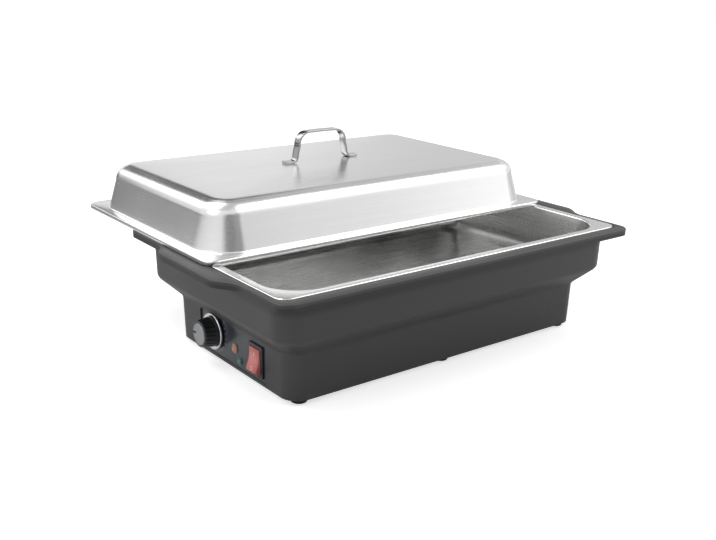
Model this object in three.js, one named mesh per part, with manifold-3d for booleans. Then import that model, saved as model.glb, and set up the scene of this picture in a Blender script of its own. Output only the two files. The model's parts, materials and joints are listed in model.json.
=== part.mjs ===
import * as THREE from 'three';
import { mergeVertices } from 'three/addons/utils/BufferGeometryUtils.js';
import Module from 'manifold-3d';

const wasm = await Module();
wasm.setup();

// An electric chafing dish: a two-tier moulded housing holds a water tray over a heating element,
// a gastronorm food pan hangs in the tray, and a domed lid lies slid back on the rim.
// Millimetres, +Z up. The control end faces -X and the open half of the pan faces -Y.

// Food pan: full-size gastronorm, deep-drawn from thin sheet
const panLength = 530;
const panWidth = 325;
const panDepth = 65;
const panFlange = 12;
const panSheet = 1;
const panFlangeRadius = 15;
const panBodyRadius = 46;
const panTaper = 8;
const panFloorRadius = 14;
const panEdgeDrop = 3;
const panRootRadius = 1.5;
const panProud = 0.5;
const panSink = 8.5;

// Housing: rim, two tiers and the slope between them
const rimEndOut = 8;
const rimSideOut = 17;
const rimLip = 9;
const rimRound = 1.6;
const rimRadius = 17;
const wall = 2.5;
const gripOut = 17;
const gripHalf = 58;
const gripEnd = 34;
const rimEndOver = 16;
const rimSideOver = 23.5;
const upperDraft = 1.5;
const upperRadius = 27;
const slopeRise = 23.5;
const shoulderRound = 2.5;
const tierEndIn = 24;
const tierSideIn = 23;
const lowerDraft = 2;
const lowerRadius = 24;
const panClear = 1;
const panSeatWidth = 3.2;
const panSeatDepth = 2.8;
const traySeatDepth = 5.5;

// Seats: still pieces lie this far apart, and cuts run this far past a face
const seatGap = 0.3;
const overrun = 5;

// Bottom plate, feet and their screws
const bottomSheet = 1.5;
const bottomRecess = 0.5;
const ventLength = 34;
const ventWidth = 3.2;
const ventPitch = 11;
const ventCount = 7;
const ventOffset = 120;
const footHeight = 6;
const footRadius = 10.5;
const footTaper = 1.2;
const footSetX = 21.5;
const footSetY = 17.5;
const footSocketRadius = 4.6;
const footSocketDepth = 3;
const footBoreRadius = 2.2;
const screwRadius = 1.5;
const screwHeadRadius = 3.6;
const screwHeadHeight = 1.8;
const screwReach = 16;
const bossRadius = 5;
const bossHeight = 24;
const bossRib = 2;

// Water tray: a stepped basin under the pan, with its seal
const traySheet = 0.8;
const trayClear = 1.2;
const trayAir = 2;
const shelfRise = 6.5;
const basinLength = 398;
const basinWidth = 224;
const basinShift = 20;
const basinDepth = 22;
const basinRadius = 30;
const basinFloorRadius = 6;
const sealThickness = 1.2;

// Heating plate, tubular element, clamps, shield and cut-out
const plateLength = 290;
const plateWidth = 164;
const plateThickness = 4;
const plateRadius = 12;
const tubeRadius = 3.5;
const runSpacing = 40;
const runReach = 120;
const coldEnd = 24;
const clampWidth = 12;
const clampSheet = 1.2;
const clampSetX = 70;
const clampFoot = 9;
const shieldDepth = 13;
const shieldSheet = 0.8;
const shieldInset = 4;
const shieldNotchRadius = 5.5;
const cutoutRadius = 7;
const cutoutHeight = 7;
const cutoutTabLength = 5;
const cutoutTabWidth = 3;
const cutoutTabThickness = 0.8;

// Control panel, set into the lower tier of the control end
const panelWidth = 150;
const panelLift = 2.5;
const panelMargin = 2.2;
const panelDrop = 2;
const panelCentreY = -5;
const panelSheet = 1.6;
const panelRadius = 4;
const panelInset = 2;
const panelBack = 3.5;
const panelPad = 1.5;

// Thermostat and knob
const knobY = 37.3;
const knobRise = 3.8;
const knobRadius = 18.5;
const knobTipRadius = 16.5;
const knobDepth = 17;
const knobEdge = 1.5;
const knobSkirtRadius = 22.8;
const knobSkirtThickness = 2.4;
const knobClear = 0.6;
const knobGripDepth = 0.9;
const knobGripCount = 20;
const knobCapRadius = 13.5;
const knobCapThickness = 1.2;
const knobCapProud = 0.3;
const pointerWidth = 2;
const pointerDepth = 0.7;
const bodySide = 34;
const bodyDepth = 27;
const bushRadius = 4.7;
const bushReach = 4.4;
const nutRadius = 7.5;
const nutThickness = 1.9;
const shaftRadius = 3;
const shaftInBody = 14;
const shaftInKnob = 11;
const tabLength = 6;
const tabWidth = 5;
const tabThickness = 0.8;
const capillaryRadius = 0.9;
const bulbRadius = 3;
const bulbLength = 62;
const bulbX = -163;
const clipSheet = 0.8;
const clipWidth = 10;
const clipFoot = 6;

// Pilot lamps
const amberY = -10;
const amberDrop = 3.5;
const greenY = -21.5;
const greenDrop = 16.5;
const amberRadius = 4.8;
const greenRadius = 3.2;
const lampRim = 1.1;
const lampRimThickness = 1;
const lampDome = 1.8;
const lampDepth = 17;
const lampLeadGap = 0.8;

// Rocker switch
const switchY = -59;
const switchDrop = 1;
const rockerRadius = 15.2;
const rockerWidth = 21;
const rockerEdge = 6.4;
const rockerDip = 2.2;
const rockerProud = 1.4;
const rockerBack = 3;
const rockerTilt = 11;
const rockerClear = 0.4;
const bezelRim = 2.4;
const bezelThickness = 2.2;
const switchWall = 1.4;
const switchDepth = 24;
const trunnionRadius = 1.3;
const trunnionReach = 0.7;

// Terminal block, inner wires and cable gland
const blockSetX = 87;
const blockSetY = 63;
const blockLength = 34;
const blockWidth = 17;
const blockBase = 8;
const blockTower = 7;
const blockPoles = 3;
const blockPoleGap = 3;
const blockScrewRadius = 1.8;
const blockScrewDepth = 3;
const glandSetX = 83;
const glandRise = 22;
const glandRadius = 11;
const glandFlange = 3;
const glandDome = 9;
const glandTaper = 2.5;
const glandMouthRadius = 6;
const glandThreadRadius = 7;
const glandThreadLength = 14;
const glandBoreRadius = 3.6;
const glandNutRadius = 11;
const glandNutThickness = 4;

// Lid and its handle
const lidLength = 544;
const lidWidth = 338;
const lidSheet = 1;
const lidLip = 5;
const lidFlangeRadius = 16;
const lidFlange = 12.5;
const lidBodyRadius = 46;
const lidWallHeight = 42;
const lidWallLean = 4.5;
const lidBevel = 14;
const lidRootRadius = 2;
const lidPanelStep = 1.2;
const lidPanelStepWidth = 4;
const lidCrown = 3;
const crownShares = [1, 0.7, 0.35];
const lidShift = 145;
const handleSpan = 70;
const handleSplay = 7;
const handleFoot = 13;
const handleHeight = 39;
const handleBend = 16;
const handleFootBend = 4;
const handleBar = 3;
const handleWidth = 13;
const handleScrewRadius = 2;
const handleScrewHead = 4;
const handleScrewHeadHeight = 2;
const handleWasherRadius = 6;
const handleWasherThickness = 1;

// How finely the round stretches are cut
const cornerSteps = 6;
const gripSteps = 5;
const bendSteps = 4;
const roundSides = 20;
const smallSides = 12;
const wireSides = 6;

// The housing's three outlines follow from the pan, from the rim inwards
const rimLength = panLength + 2 * rimEndOut;
const rimWidth = panWidth + 2 * rimSideOut;
const upperLength = rimLength - 2 * rimEndOver;
const upperWidth = rimWidth - 2 * rimSideOver;
const lowerLength = upperLength - 2 * tierEndIn;
const lowerWidth = upperWidth - 2 * tierSideIn;

// Heights that follow from the sizes above, from the feet up to the lid
const plateBottom = footHeight + bottomRecess;
const plateTop = plateBottom + bottomSheet;
const panelBottom = plateTop + panelLift;
const panelTop = panelBottom + 2 * (knobSkirtRadius + panelMargin);
const panelMiddle = (panelBottom + panelTop) / 2;
const knobZ = panelMiddle + knobRise;
const amberZ = panelMiddle - amberDrop;
const greenZ = panelMiddle - greenDrop;
const switchZ = panelMiddle - switchDrop;
const lowerTop = panelTop + panelDrop;
const shoulderHeight = lowerTop + slopeRise;
const trayShelf = lowerTop + shelfRise;
const basinFloor = trayShelf - basinDepth;
const panFloor = shoulderHeight - panSink;
const panTop = panFloor + panDepth;
const rimHeight = panTop - panProud;
const panSeat = rimHeight - panSeatDepth;
const traySeat = rimHeight - traySeatDepth;
const lidBase = panTop + seatGap;
const heaterTop = basinFloor - traySheet - seatGap;
const heaterUnder = heaterTop - plateThickness;
const elementZ = heaterUnder - seatGap - tubeRadius;
const panelFace = -(lowerLength / 2 - lowerDraft - panelInset);
const panelFront = panelFace - seatGap - panelSheet;
const padFace = panelFace + panelBack;
const blockX = blockSetX - lowerLength / 2;
const blockY = blockSetY - lowerWidth / 2;
const glandX = glandSetX - lowerLength / 2;
const glandZ = plateTop + glandRise;
const footPlaces = [-1, 0, 1].flatMap((x) => [-1, 1].map((y) => [
  x * (lowerLength / 2 - footSetX),
  y * (lowerWidth / 2 - footSetY),
]));

const steel = { color: 0xc9c8c4, roughness: 0.28, metalness: 1 };
const brushed = { color: 0xb9b9b6, roughness: 0.42, metalness: 1 };
const polished = { color: 0xd6d6d4, roughness: 0.12, metalness: 1 };
const housingPlastic = { color: 0x3c3c3c, roughness: 0.5, metalness: 0 };
const blackPlastic = { color: 0x17181a, roughness: 0.4, metalness: 0 };
const panelPlastic = { color: 0x1f2430, roughness: 0.35, metalness: 0 };
const ringPlastic = { color: 0x8d8f92, roughness: 0.35, metalness: 0.3 };
const rubber = { color: 0x101010, roughness: 0.85, metalness: 0 };
const silicone = { color: 0xb7b2a6, roughness: 0.7, metalness: 0 };
const aluminium = { color: 0xa7a9ab, roughness: 0.5, metalness: 1 };
const redPlastic = { color: 0xc01c18, roughness: 0.25, metalness: 0 };
const amberPlastic = { color: 0xff8a1e, roughness: 0.2, metalness: 0 };
const greenPlastic = { color: 0x2f8f6d, roughness: 0.2, metalness: 0 };
const nylon = { color: 0xd8d4c8, roughness: 0.6, metalness: 0 };
const brass = { color: 0xb28a3c, roughness: 0.35, metalness: 1 };

const up = new THREE.Vector3(0, 0, 1);
const chafer = new THREE.Group();

function signedVolume(position, index) {
  const [a, b, c] = [new THREE.Vector3(), new THREE.Vector3(), new THREE.Vector3()];
  let total = 0;
  for (let i = 0; i < index.count; i += 3) {
    a.fromBufferAttribute(position, index.getX(i));
    b.fromBufferAttribute(position, index.getX(i + 1));
    c.fromBufferAttribute(position, index.getX(i + 2));
    total += a.dot(b.cross(c));
  }
  return total;
}

// A closed geometry with shared vertices and its faces pointing out
function closed(source) {
  const geometry = source.clone();
  geometry.deleteAttribute('normal');
  geometry.deleteAttribute('uv');
  const merged = mergeVertices(geometry);
  if (signedVolume(merged.attributes.position, merged.index) < 0) {
    const index = merged.index.array;
    for (let i = 0; i < index.length; i += 3) {
      [index[i], index[i + 1]] = [index[i + 1], index[i]];
    }
  }
  return merged;
}

function toSolid(geometry) {
  const merged = closed(geometry);
  return new wasm.Manifold(new wasm.Mesh({
    numProp: 3,
    vertProperties: new Float32Array(merged.attributes.position.array),
    triVerts: new Uint32Array(merged.index.array),
  }));
}

function toGeometry(solid) {
  const mesh = solid.getMesh();
  const geometry = new THREE.BufferGeometry();
  geometry.setAttribute('position', new THREE.BufferAttribute(mesh.vertProperties, 3));
  geometry.setIndex(new THREE.BufferAttribute(mesh.triVerts, 1));
  return geometry;
}

function join(first, ...others) {
  return toGeometry(others.reduce((all, next) => all.add(toSolid(next)), toSolid(first)));
}

function cut(first, ...others) {
  return toGeometry(others.reduce((left, next) => left.subtract(toSolid(next)), toSolid(first)));
}

function common(first, second) {
  return toGeometry(toSolid(first).intersect(toSolid(second)));
}

function add(name, geometry, finish, parent = chafer) {
  const mesh = new THREE.Mesh(closed(geometry), new THREE.MeshStandardMaterial(finish));
  mesh.geometry.computeVertexNormals();
  mesh.name = name;
  parent.add(mesh);
  return mesh;
}

// A box between two corners
function block(low, high) {
  const size = high.map((value, i) => value - low[i]);
  const middle = high.map((value, i) => (value + low[i]) / 2);
  return new THREE.BoxGeometry(...size).translate(...middle);
}

// A turned shape about +Z from [radius, height] pairs
function turned(profile, sides = roundSides) {
  const points = profile.map(([radius, height]) => new THREE.Vector2(radius, height));
  return new THREE.LatheGeometry(points, sides).rotateX(Math.PI / 2);
}

// The same, as a ring whose profile closes on itself
function turnedRing(profile, sides = roundSides) {
  return turned([...profile, profile[0]], sides);
}

function rod(radius, from, to, sides = roundSides) {
  return turned([[0, from], [radius, from], [radius, to], [0, to]], sides);
}

function hexNut(radius, bore, thickness) {
  return cut(rod(radius, 0, thickness, 6), rod(bore, -overrun, thickness + overrun));
}

// Turns a shape that was made about +Z so that its +Z looks out of the control end
function facingEnd(geometry, x, y, z) {
  return geometry.rotateY(-Math.PI / 2).translate(x, y, z);
}

// A smooth step from 0 to 1
function ease(share) {
  const held = Math.min(Math.max(share, 0), 1);
  return held * held * (3 - 2 * held);
}

// One level of a loft: a rounded rectangle, with the grips bulging from its short sides where asked
function level({ x, y, radius, z, grip = 0, shift = 0, gripped = false }) {
  const points = [];
  const reach = Math.min(gripHalf + gripEnd, y - radius);
  const stations = [0];
  if (gripped) {
    for (let i = 0; i <= gripSteps; i += 1) {
      stations.push(reach - gripEnd * (1 - i / gripSteps));
    }
  }
  const mirrored = stations.slice(1).reverse().map((value) => -value);
  const sideYs = gripped ? [...mirrored, ...stations] : [];
  for (const turn of [1, -1]) {
    for (const along of sideYs) {
      const bulge = grip * ease((reach - Math.abs(along)) / gripEnd);
      points.push(new THREE.Vector3(shift + turn * (x + bulge), turn * along, z));
    }
    for (const [cornerX, start] of [[x - radius, 0], [radius - x, Math.PI / 2]]) {
      for (let i = 0; i <= cornerSteps; i += 1) {
        const angle = start + (i / cornerSteps) * (Math.PI / 2);
        points.push(new THREE.Vector3(
          shift + turn * (cornerX + radius * Math.cos(angle)),
          turn * (y - radius + radius * Math.sin(angle)),
          z,
        ));
      }
    }
  }
  return points;
}

// Joins levels into a closed skin: a ring where the last meets the first, or else capped at both ends
function loft(levels, isRing = false) {
  const count = levels[0].length;
  const vertices = levels.flat();
  const faces = [];
  const bands = isRing ? levels.length : levels.length - 1;
  for (let i = 0; i < bands; i += 1) {
    const next = (i + 1) % levels.length;
    for (let j = 0; j < count; j += 1) {
      const k = (j + 1) % count;
      faces.push(i * count + j, i * count + k, next * count + k);
      faces.push(i * count + j, next * count + k, next * count + j);
    }
  }
  if (!isRing) {
    for (const [start, isFirst] of [[0, true], [(levels.length - 1) * count, false]]) {
      const middle = vertices.slice(start, start + count)
        .reduce((sum, point) => sum.add(point), new THREE.Vector3()).divideScalar(count);
      const centre = vertices.push(middle) - 1;
      for (let j = 0; j < count; j += 1) {
        const [a, b] = [start + j, start + ((j + 1) % count)];
        faces.push(centre, ...(isFirst ? [b, a] : [a, b]));
      }
    }
  }
  const geometry = new THREE.BufferGeometry().setFromPoints(vertices);
  geometry.setIndex(faces);
  return geometry;
}

// A path that keeps its stations where they are put, so that straights stay long and bends fine
class Route extends THREE.Curve {
  constructor(stations) {
    super();
    this.stations = stations;
  }

  getPoint(t) {
    const place = t * (this.stations.length - 1);
    const first = Math.min(Math.floor(place), this.stations.length - 2);
    return this.stations[first].clone().lerp(this.stations[first + 1], place - first);
  }

  getPointAt(t) {
    return this.getPoint(t);
  }

  getTangentAt(t) {
    const half = 1 / (2 * (this.stations.length - 1));
    const from = this.getPoint(Math.max(t - half, 0));
    return this.getPoint(Math.min(t + half, 1)).sub(from).normalize();
  }
}

function disc(radius, sides) {
  const shape = new THREE.Shape();
  for (let i = 0; i < sides; i += 1) {
    const angle = (i / sides) * 2 * Math.PI;
    shape[i ? 'lineTo' : 'moveTo'](radius * Math.cos(angle), radius * Math.sin(angle));
  }
  shape.closePath();
  return shape;
}

function tube(stations, radius, sides = wireSides) {
  return new THREE.ExtrudeGeometry(disc(radius, sides), {
    steps: stations.length - 1,
    extrudePath: new Route(stations),
    bevelEnabled: false,
  });
}

// A wire or thin pipe on one smooth curve through a few places
function softTube(places, radius, steps) {
  const curve = new THREE.CatmullRomCurve3(places.map((place) => new THREE.Vector3(...place)));
  return tube(curve.getPoints(steps), radius);
}

function roundedRect(halfX, halfY, radius) {
  const shape = new THREE.Shape();
  shape.moveTo(halfX - radius, -halfY);
  shape.absarc(halfX - radius, radius - halfY, radius, -Math.PI / 2, 0);
  shape.absarc(halfX - radius, halfY - radius, radius, 0, Math.PI / 2);
  shape.absarc(radius - halfX, halfY - radius, radius, Math.PI / 2, Math.PI);
  shape.absarc(radius - halfX, radius - halfY, radius, Math.PI, 1.5 * Math.PI);
  return shape;
}

function slab(shape, thickness, z, segments = cornerSteps) {
  return new THREE.ExtrudeGeometry(shape, { depth: thickness, bevelEnabled: false, curveSegments: segments })
    .translate(0, 0, z);
}

// Points on a quarter of a circle, as [out, up] offsets from its centre
function quarter(radius, from, to) {
  return Array.from({ length: bendSteps + 1 }, (_, i) => {
    const angle = from + ((to - from) * i) / bendSteps;
    return [radius * Math.cos(angle), radius * Math.sin(angle)];
  });
}

// The housing: outer levels from the bottom edge up, over the rim, and back down inside
const upperHalf = { x: upperLength / 2, y: upperWidth / 2 };
const lowerHalf = { x: lowerLength / 2, y: lowerWidth / 2 };
const rimHalf = { x: rimLength / 2, y: rimWidth / 2 };
const panHalf = { x: panLength / 2, y: panWidth / 2 };
const bendShare = Math.tan(Math.PI / 8);

function inset(half, amount, radius, z, more = {}) {
  return level({ x: half.x - amount, y: half.y - amount, radius: radius - amount, z, ...more });
}

const shell = { gripped: true };
const lipShell = { gripped: true, grip: gripOut };

function outerTiers(more) {
  const slopeShare = (shoulderHeight - lowerTop) / (upperHalf.x - lowerHalf.x);
  return [
    inset(lowerHalf, lowerDraft, lowerRadius, footHeight, more),
    inset(lowerHalf, 0, lowerRadius, lowerTop, more),
    inset(upperHalf, shoulderRound, upperRadius, shoulderHeight - shoulderRound * slopeShare, more),
    inset(upperHalf, 0, upperRadius, shoulderHeight + shoulderRound, more),
  ];
}

function housingShell() {
  const lipBottom = rimHeight - rimLip;
  const recess = { x: panHalf.x + panClear, y: panHalf.y + panClear };
  const recessRadius = panFlangeRadius + panClear;
  return loft([
    ...outerTiers(shell),
    inset(upperHalf, -upperDraft, upperRadius, traySeat - wall, shell),
    inset(recess, -wall, recessRadius, traySeat - wall, shell),
    inset(recess, -wall, recessRadius, rimHeight - wall, shell),
    inset(rimHalf, wall, rimRadius, rimHeight - wall, lipShell),
    inset(rimHalf, wall, rimRadius, lipBottom, lipShell),
    inset(rimHalf, 0, rimRadius, lipBottom, lipShell),
    inset(rimHalf, 0, rimRadius, rimHeight - rimRound, lipShell),
    inset(rimHalf, rimRound * bendShare, rimRadius, rimHeight - rimRound * bendShare, lipShell),
    inset(rimHalf, rimRound, rimRadius, rimHeight, lipShell),
    inset(recess, 0, recessRadius, rimHeight, shell),
    inset(recess, 0, recessRadius, panSeat, shell),
    inset(recess, panSeatWidth, recessRadius, panSeat, shell),
    inset(recess, panSeatWidth, recessRadius, traySeat, shell),
    inset(upperHalf, wall - upperDraft, upperRadius, traySeat, shell),
    inset(upperHalf, wall, upperRadius, shoulderHeight + wall * bendShare, shell),
    inset(lowerHalf, wall, lowerRadius, lowerTop + wall * bendShare, shell),
    inset(lowerHalf, wall + lowerDraft, lowerRadius, footHeight, shell),
  ], true);
}

function panelCutters() {
  const window = {
    y: rockerWidth / 2 + rockerClear + switchWall + seatGap,
    z: rockerRadius + rockerClear + switchWall + seatGap,
  };
  const [inner, outer] = [padFace + overrun, panelFront - overrun];
  const through = (radius, y, z) => facingEnd(rod(radius, -inner, -outer), 0, y, z);
  return [
    through(bushRadius + seatGap, knobY, knobZ),
    through(amberRadius + seatGap, amberY, amberZ),
    through(greenRadius + seatGap, greenY, greenZ),
    block(
      [outer, switchY - window.y, switchZ - window.z],
      [inner, switchY + window.y, switchZ + window.z],
    ),
  ];
}

function baseHousing() {
  const envelope = loft(outerTiers({}).map((points) => points.map((point) => new THREE.Vector3(
    point.x - Math.sign(point.x) * wall / 2,
    point.y - Math.sign(point.y) * wall / 2,
    point.z,
  ))));
  const extras = footPlaces.map(([x, y]) => {
    const boss = rod(bossRadius, plateTop + seatGap, bossHeight, smallSides).translate(x, y, 0);
    const wallY = Math.sign(y) * lowerHalf.y;
    const rib = block(
      [x - bossRib / 2, Math.min(y, wallY), plateTop + seatGap],
      [x + bossRib / 2, Math.max(y, wallY), bossHeight],
    );
    return join(boss, rib);
  });
  const padY = panelWidth / 2 + panelPad;
  const pad = block(
    [-lowerHalf.x, panelCentreY - padY, plateTop + seatGap],
    [padFace, panelCentreY + padY, panelTop + panelPad],
  );
  const inside = extras.reduce((all, next) => join(all, next), pad);
  const recessHalf = panelWidth / 2 + seatGap;
  const recess = block(
    [-lowerHalf.x - overrun, panelCentreY - recessHalf, panelBottom - seatGap],
    [panelFace, panelCentreY + recessHalf, panelTop + seatGap],
  );
  const holeTop = plateTop + screwReach;
  const screwHole = () => rod(screwRadius + seatGap, 0, holeTop, smallSides);
  const screwHoles = footPlaces.map(([x, y]) => screwHole().translate(x, y, 0));
  const glandHole = rod(glandThreadRadius + seatGap, -overrun, overrun + wall).rotateX(-Math.PI / 2)
    .translate(glandX, lowerHalf.y - lowerDraft - wall, glandZ);
  const whole = join(housingShell(), common(inside, envelope));
  return cut(whole, recess, ...panelCutters(), ...screwHoles, glandHole);
}

add('base_housing', baseHousing(), housingPlastic);

// Bottom plate with two fields of vent slots
function bottomPlate() {
  const margin = wall + lowerDraft + seatGap;
  const shape = roundedRect(lowerHalf.x - margin, lowerHalf.y - margin, lowerRadius - margin);
  for (const side of [-1, 1]) {
    for (let i = 0; i < ventCount; i += 1) {
      const slot = new THREE.Path();
      const x = side * ventOffset + (i - (ventCount - 1) / 2) * ventPitch;
      const [half, end] = [ventWidth / 2, ventLength - ventWidth / 2];
      slot.moveTo(x - half, -end);
      slot.absarc(x, -end, half, Math.PI, 2 * Math.PI);
      slot.absarc(x, end, half, 0, Math.PI);
      shape.holes.push(slot);
    }
  }
  for (const [x, y] of footPlaces) {
    const hole = new THREE.Path();
    hole.absarc(x, y, footBoreRadius, 0, 2 * Math.PI);
    shape.holes.push(hole);
  }
  return slab(shape, bottomSheet, plateBottom, bendSteps);
}

add('bottom_plate', bottomPlate(), brushed);

footPlaces.forEach(([x, y], i) => {
  const top = plateBottom - seatGap;
  const foot = turnedRing([
    [footSocketRadius, 0],
    [footRadius - footTaper, 0],
    [footRadius, footTaper],
    [footRadius, top],
    [footBoreRadius, top],
    [footBoreRadius, footSocketDepth],
    [footSocketRadius, footSocketDepth],
  ], smallSides);
  add(`foot_${i + 1}`, foot.translate(x, y, 0), rubber);
  const headBottom = footSocketDepth - seatGap - screwHeadHeight;
  const screw = turned([
    [0, headBottom],
    [screwHeadRadius, headBottom],
    [screwHeadRadius, footSocketDepth - seatGap],
    [screwRadius, footSocketDepth - seatGap],
    [screwRadius, plateTop + screwReach - seatGap],
    [0, plateTop + screwReach - seatGap],
  ], smallSides);
  add(`foot_screw_${i + 1}`, screw.translate(x, y, 0), steel);
});

// Food pan: floor, wall and flange drawn as one sheet
const panBody = { x: panHalf.x - panFlange, y: panHalf.y - panFlange };

function foodPan() {
  const bend = panFloorRadius;
  const outside = quarter(bend, -Math.PI / 2, 0).map(([out, rise]) => (
    inset(panBody, panTaper + bend - out, panBodyRadius, panFloor + bend + rise)
  ));
  const inside = quarter(bend - panSheet, 0, -Math.PI / 2).map(([out, rise]) => (
    inset(panBody, panTaper + bend - out, panBodyRadius, panFloor + bend + rise)
  ));
  const edge = (amount, z) => inset(panHalf, amount, panFlangeRadius, z);
  const root = (amount, z) => inset(panBody, amount, panBodyRadius, z);
  const under = panTop - panSheet;
  return loft([
    ...outside,
    root(0, under - panRootRadius),
    root(-panRootRadius, under),
    edge(panSheet, under),
    edge(panSheet, panTop - panEdgeDrop),
    edge(0, panTop - panEdgeDrop),
    edge(0, panTop - panSheet / 2),
    edge(panSheet / 2, panTop),
    root(-panRootRadius, panTop),
    root(panSheet / 2, panTop - panSheet / 2),
    root(panSheet, under - panRootRadius),
    ...inside,
  ]);
}

add('food_pan', foodPan(), steel);

// Water tray: hangs by its flange, follows the housing's slope and steps down to a basin
const trayMouth = { x: panBody.x + trayClear + traySheet, y: panBody.y + trayClear + traySheet };
const trayFlangeTop = traySeat + seatGap + sealThickness + seatGap + traySheet;
const trayEdge = {
  x: panHalf.x + panClear - panSeatWidth - seatGap,
  y: panHalf.y + panClear - panSeatWidth - seatGap,
};
const trayEdgeRadius = panFlangeRadius + panClear - panSeatWidth - seatGap;

function waterTray() {
  const shoulder = { x: upperHalf.x - wall - trayAir, y: upperHalf.y - wall - trayAir };
  const shoulderZ = shoulderHeight + wall;
  const drop = shoulderZ - trayShelf;
  const slopeIn = (drop * (upperHalf.x - lowerHalf.x)) / (shoulderHeight - lowerTop);
  const shelf = { x: shoulder.x - slopeIn, y: shoulder.y - slopeIn };
  const basin = { x: basinLength / 2, y: basinWidth / 2 };
  const inBasin = (amount, z) => inset(basin, amount, basinRadius, z, { shift: basinShift });
  const shoulderRadius = upperRadius - wall - trayAir;
  const under = trayFlangeTop - traySheet;
  return loft([
    inBasin(basinFloorRadius, basinFloor - traySheet),
    inBasin(0, basinFloor - traySheet + basinFloorRadius),
    inBasin(0, trayShelf - traySheet),
    inset(shelf, 0, lowerRadius, trayShelf - traySheet),
    inset(shoulder, 0, shoulderRadius, shoulderZ),
    inset(trayMouth, 0, panBodyRadius, under),
    inset(trayEdge, 0, trayEdgeRadius, under),
    inset(trayEdge, 0, trayEdgeRadius, trayFlangeTop),
    inset(trayMouth, traySheet, panBodyRadius, trayFlangeTop),
    inset(shoulder, traySheet, shoulderRadius, shoulderZ + traySheet * bendShare),
    inset(shelf, traySheet * bendShare, lowerRadius, trayShelf),
    inBasin(traySheet, trayShelf),
    inBasin(traySheet, basinFloor + basinFloorRadius),
    inBasin(basinFloorRadius, basinFloor),
  ]);
}

add('water_tray', waterTray(), brushed);

function traySeal() {
  const bottom = traySeat + seatGap;
  const mouth = {
    x: Math.max(upperHalf.x + upperDraft - wall, trayMouth.x) + trayClear,
    y: Math.max(upperHalf.y + upperDraft - wall, trayMouth.y) + trayClear,
  };
  return loft([
    inset(mouth, 0, upperRadius, bottom),
    inset(mouth, 0, upperRadius, bottom + sealThickness),
    inset(trayEdge, 0, trayEdgeRadius, bottom + sealThickness),
    inset(trayEdge, 0, trayEdgeRadius, bottom),
  ].reverse(), true);
}

add('tray_seal', traySeal(), silicone);

// Heater: a plate under the basin, with a tubular element in four runs pressed to it
const heater = new THREE.Group();
heater.position.set(basinShift, 0, 0);
chafer.add(heater);

const plateShape = roundedRect(plateLength / 2, plateWidth / 2, plateRadius);
add('heating_plate', slab(plateShape, plateThickness, heaterUnder), aluminium, heater);

const runYs = [0, 1, 2, 3].map((i) => (i - 1.5) * runSpacing);
const leadX = -(plateLength / 2 + coldEnd);

function elementStations() {
  const stations = [new THREE.Vector3(leadX, runYs[0], elementZ)];
  const bend = runSpacing / 2;
  runYs.slice(0, -1).forEach((y, i) => {
    const side = i % 2 ? -1 : 1;
    for (let j = 0; j <= 2 * bendSteps; j += 1) {
      const angle = -Math.PI / 2 + (j / (2 * bendSteps)) * Math.PI;
      stations.push(new THREE.Vector3(
        side * (runReach + bend * Math.cos(angle) - bend / 2),
        y + bend + bend * Math.sin(angle),
        elementZ,
      ));
    }
  });
  stations.push(new THREE.Vector3(leadX, runYs[3], elementZ));
  return stations;
}

add('heating_element', tube(elementStations(), tubeRadius, roundSides / 2), brushed, heater);

// A strap across all four runs, with a saddle bent round each
function elementClamp() {
  const inner = tubeRadius + seatGap;
  const outer = inner + clampSheet;
  const top = heaterUnder - seatGap;
  const reach = runYs[3] + outer + clampFoot;
  const alongX = (radius, half) => runYs.map((y) => rod(radius, -half, half, smallSides)
    .rotateY(Math.PI / 2).translate(0, y, elementZ));
  const strap = block([-clampWidth / 2, -reach, top - clampSheet], [clampWidth / 2, reach, top]);
  const slots = runYs.map((y) => block(
    [-clampWidth, y - inner, elementZ],
    [clampWidth, y + inner, heaterTop],
  ));
  const trim = block(
    [-clampWidth, -reach - overrun, top],
    [clampWidth, reach + overrun, heaterTop + overrun],
  );
  return cut(join(strap, ...alongX(outer, clampWidth / 2)), ...alongX(inner, clampWidth), ...slots, trim);
}

[-1, 1].forEach((side, i) => {
  add(`element_clamp_${i + 1}`, elementClamp().translate(side * clampSetX, 0, 0), steel, heater);
});

function heatShield() {
  const half = { x: plateLength / 2 - shieldInset, y: plateWidth / 2 - shieldInset };
  const [top, floor] = [heaterUnder - seatGap, heaterUnder - seatGap - shieldDepth];
  const tray = loft([
    inset(half, 0, plateRadius, floor),
    inset(half, 0, plateRadius, top),
    inset(half, shieldSheet, plateRadius, top),
    inset(half, shieldSheet, plateRadius, floor + shieldSheet),
  ]);
  const notches = [runYs[0], runYs[3]].map((y) => rod(shieldNotchRadius, -overrun, overrun, smallSides)
    .rotateY(Math.PI / 2).translate(-half.x, y, elementZ));
  return cut(tray, ...notches);
}

add('heat_shield', heatShield(), brushed, heater);

function thermalCutout() {
  const top = heaterUnder - seatGap;
  const under = top - cutoutHeight;
  const can = rod(cutoutRadius, under, top);
  const tabs = [-1, 1].map((side) => block(
    [-cutoutTabThickness / 2, -cutoutTabWidth / 2, under - cutoutTabLength],
    [cutoutTabThickness / 2, cutoutTabWidth / 2, under + cutoutTabThickness],
  ).translate(side * cutoutRadius / 2, 0, 0));
  return join(can, ...tabs);
}

add('thermal_cutout', thermalCutout(), blackPlastic, heater);

// Control panel
function controlPanel() {
  const half = { y: panelWidth / 2, z: (panelTop - panelBottom) / 2 };
  const sheet = facingEnd(
    slab(roundedRect(half.z, half.y, panelRadius), panelSheet, 0),
    panelFace - seatGap,
    panelCentreY,
    panelMiddle,
  );
  return cut(sheet, ...panelCutters());
}

add('control_panel', controlPanel(), panelPlastic);

// Thermostat body behind the pad, its threaded bush through the panel
const bodyFace = padFace + seatGap;
const nutBack = panelFront - seatGap;
const skirtBack = nutBack - nutThickness - knobClear;

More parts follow.
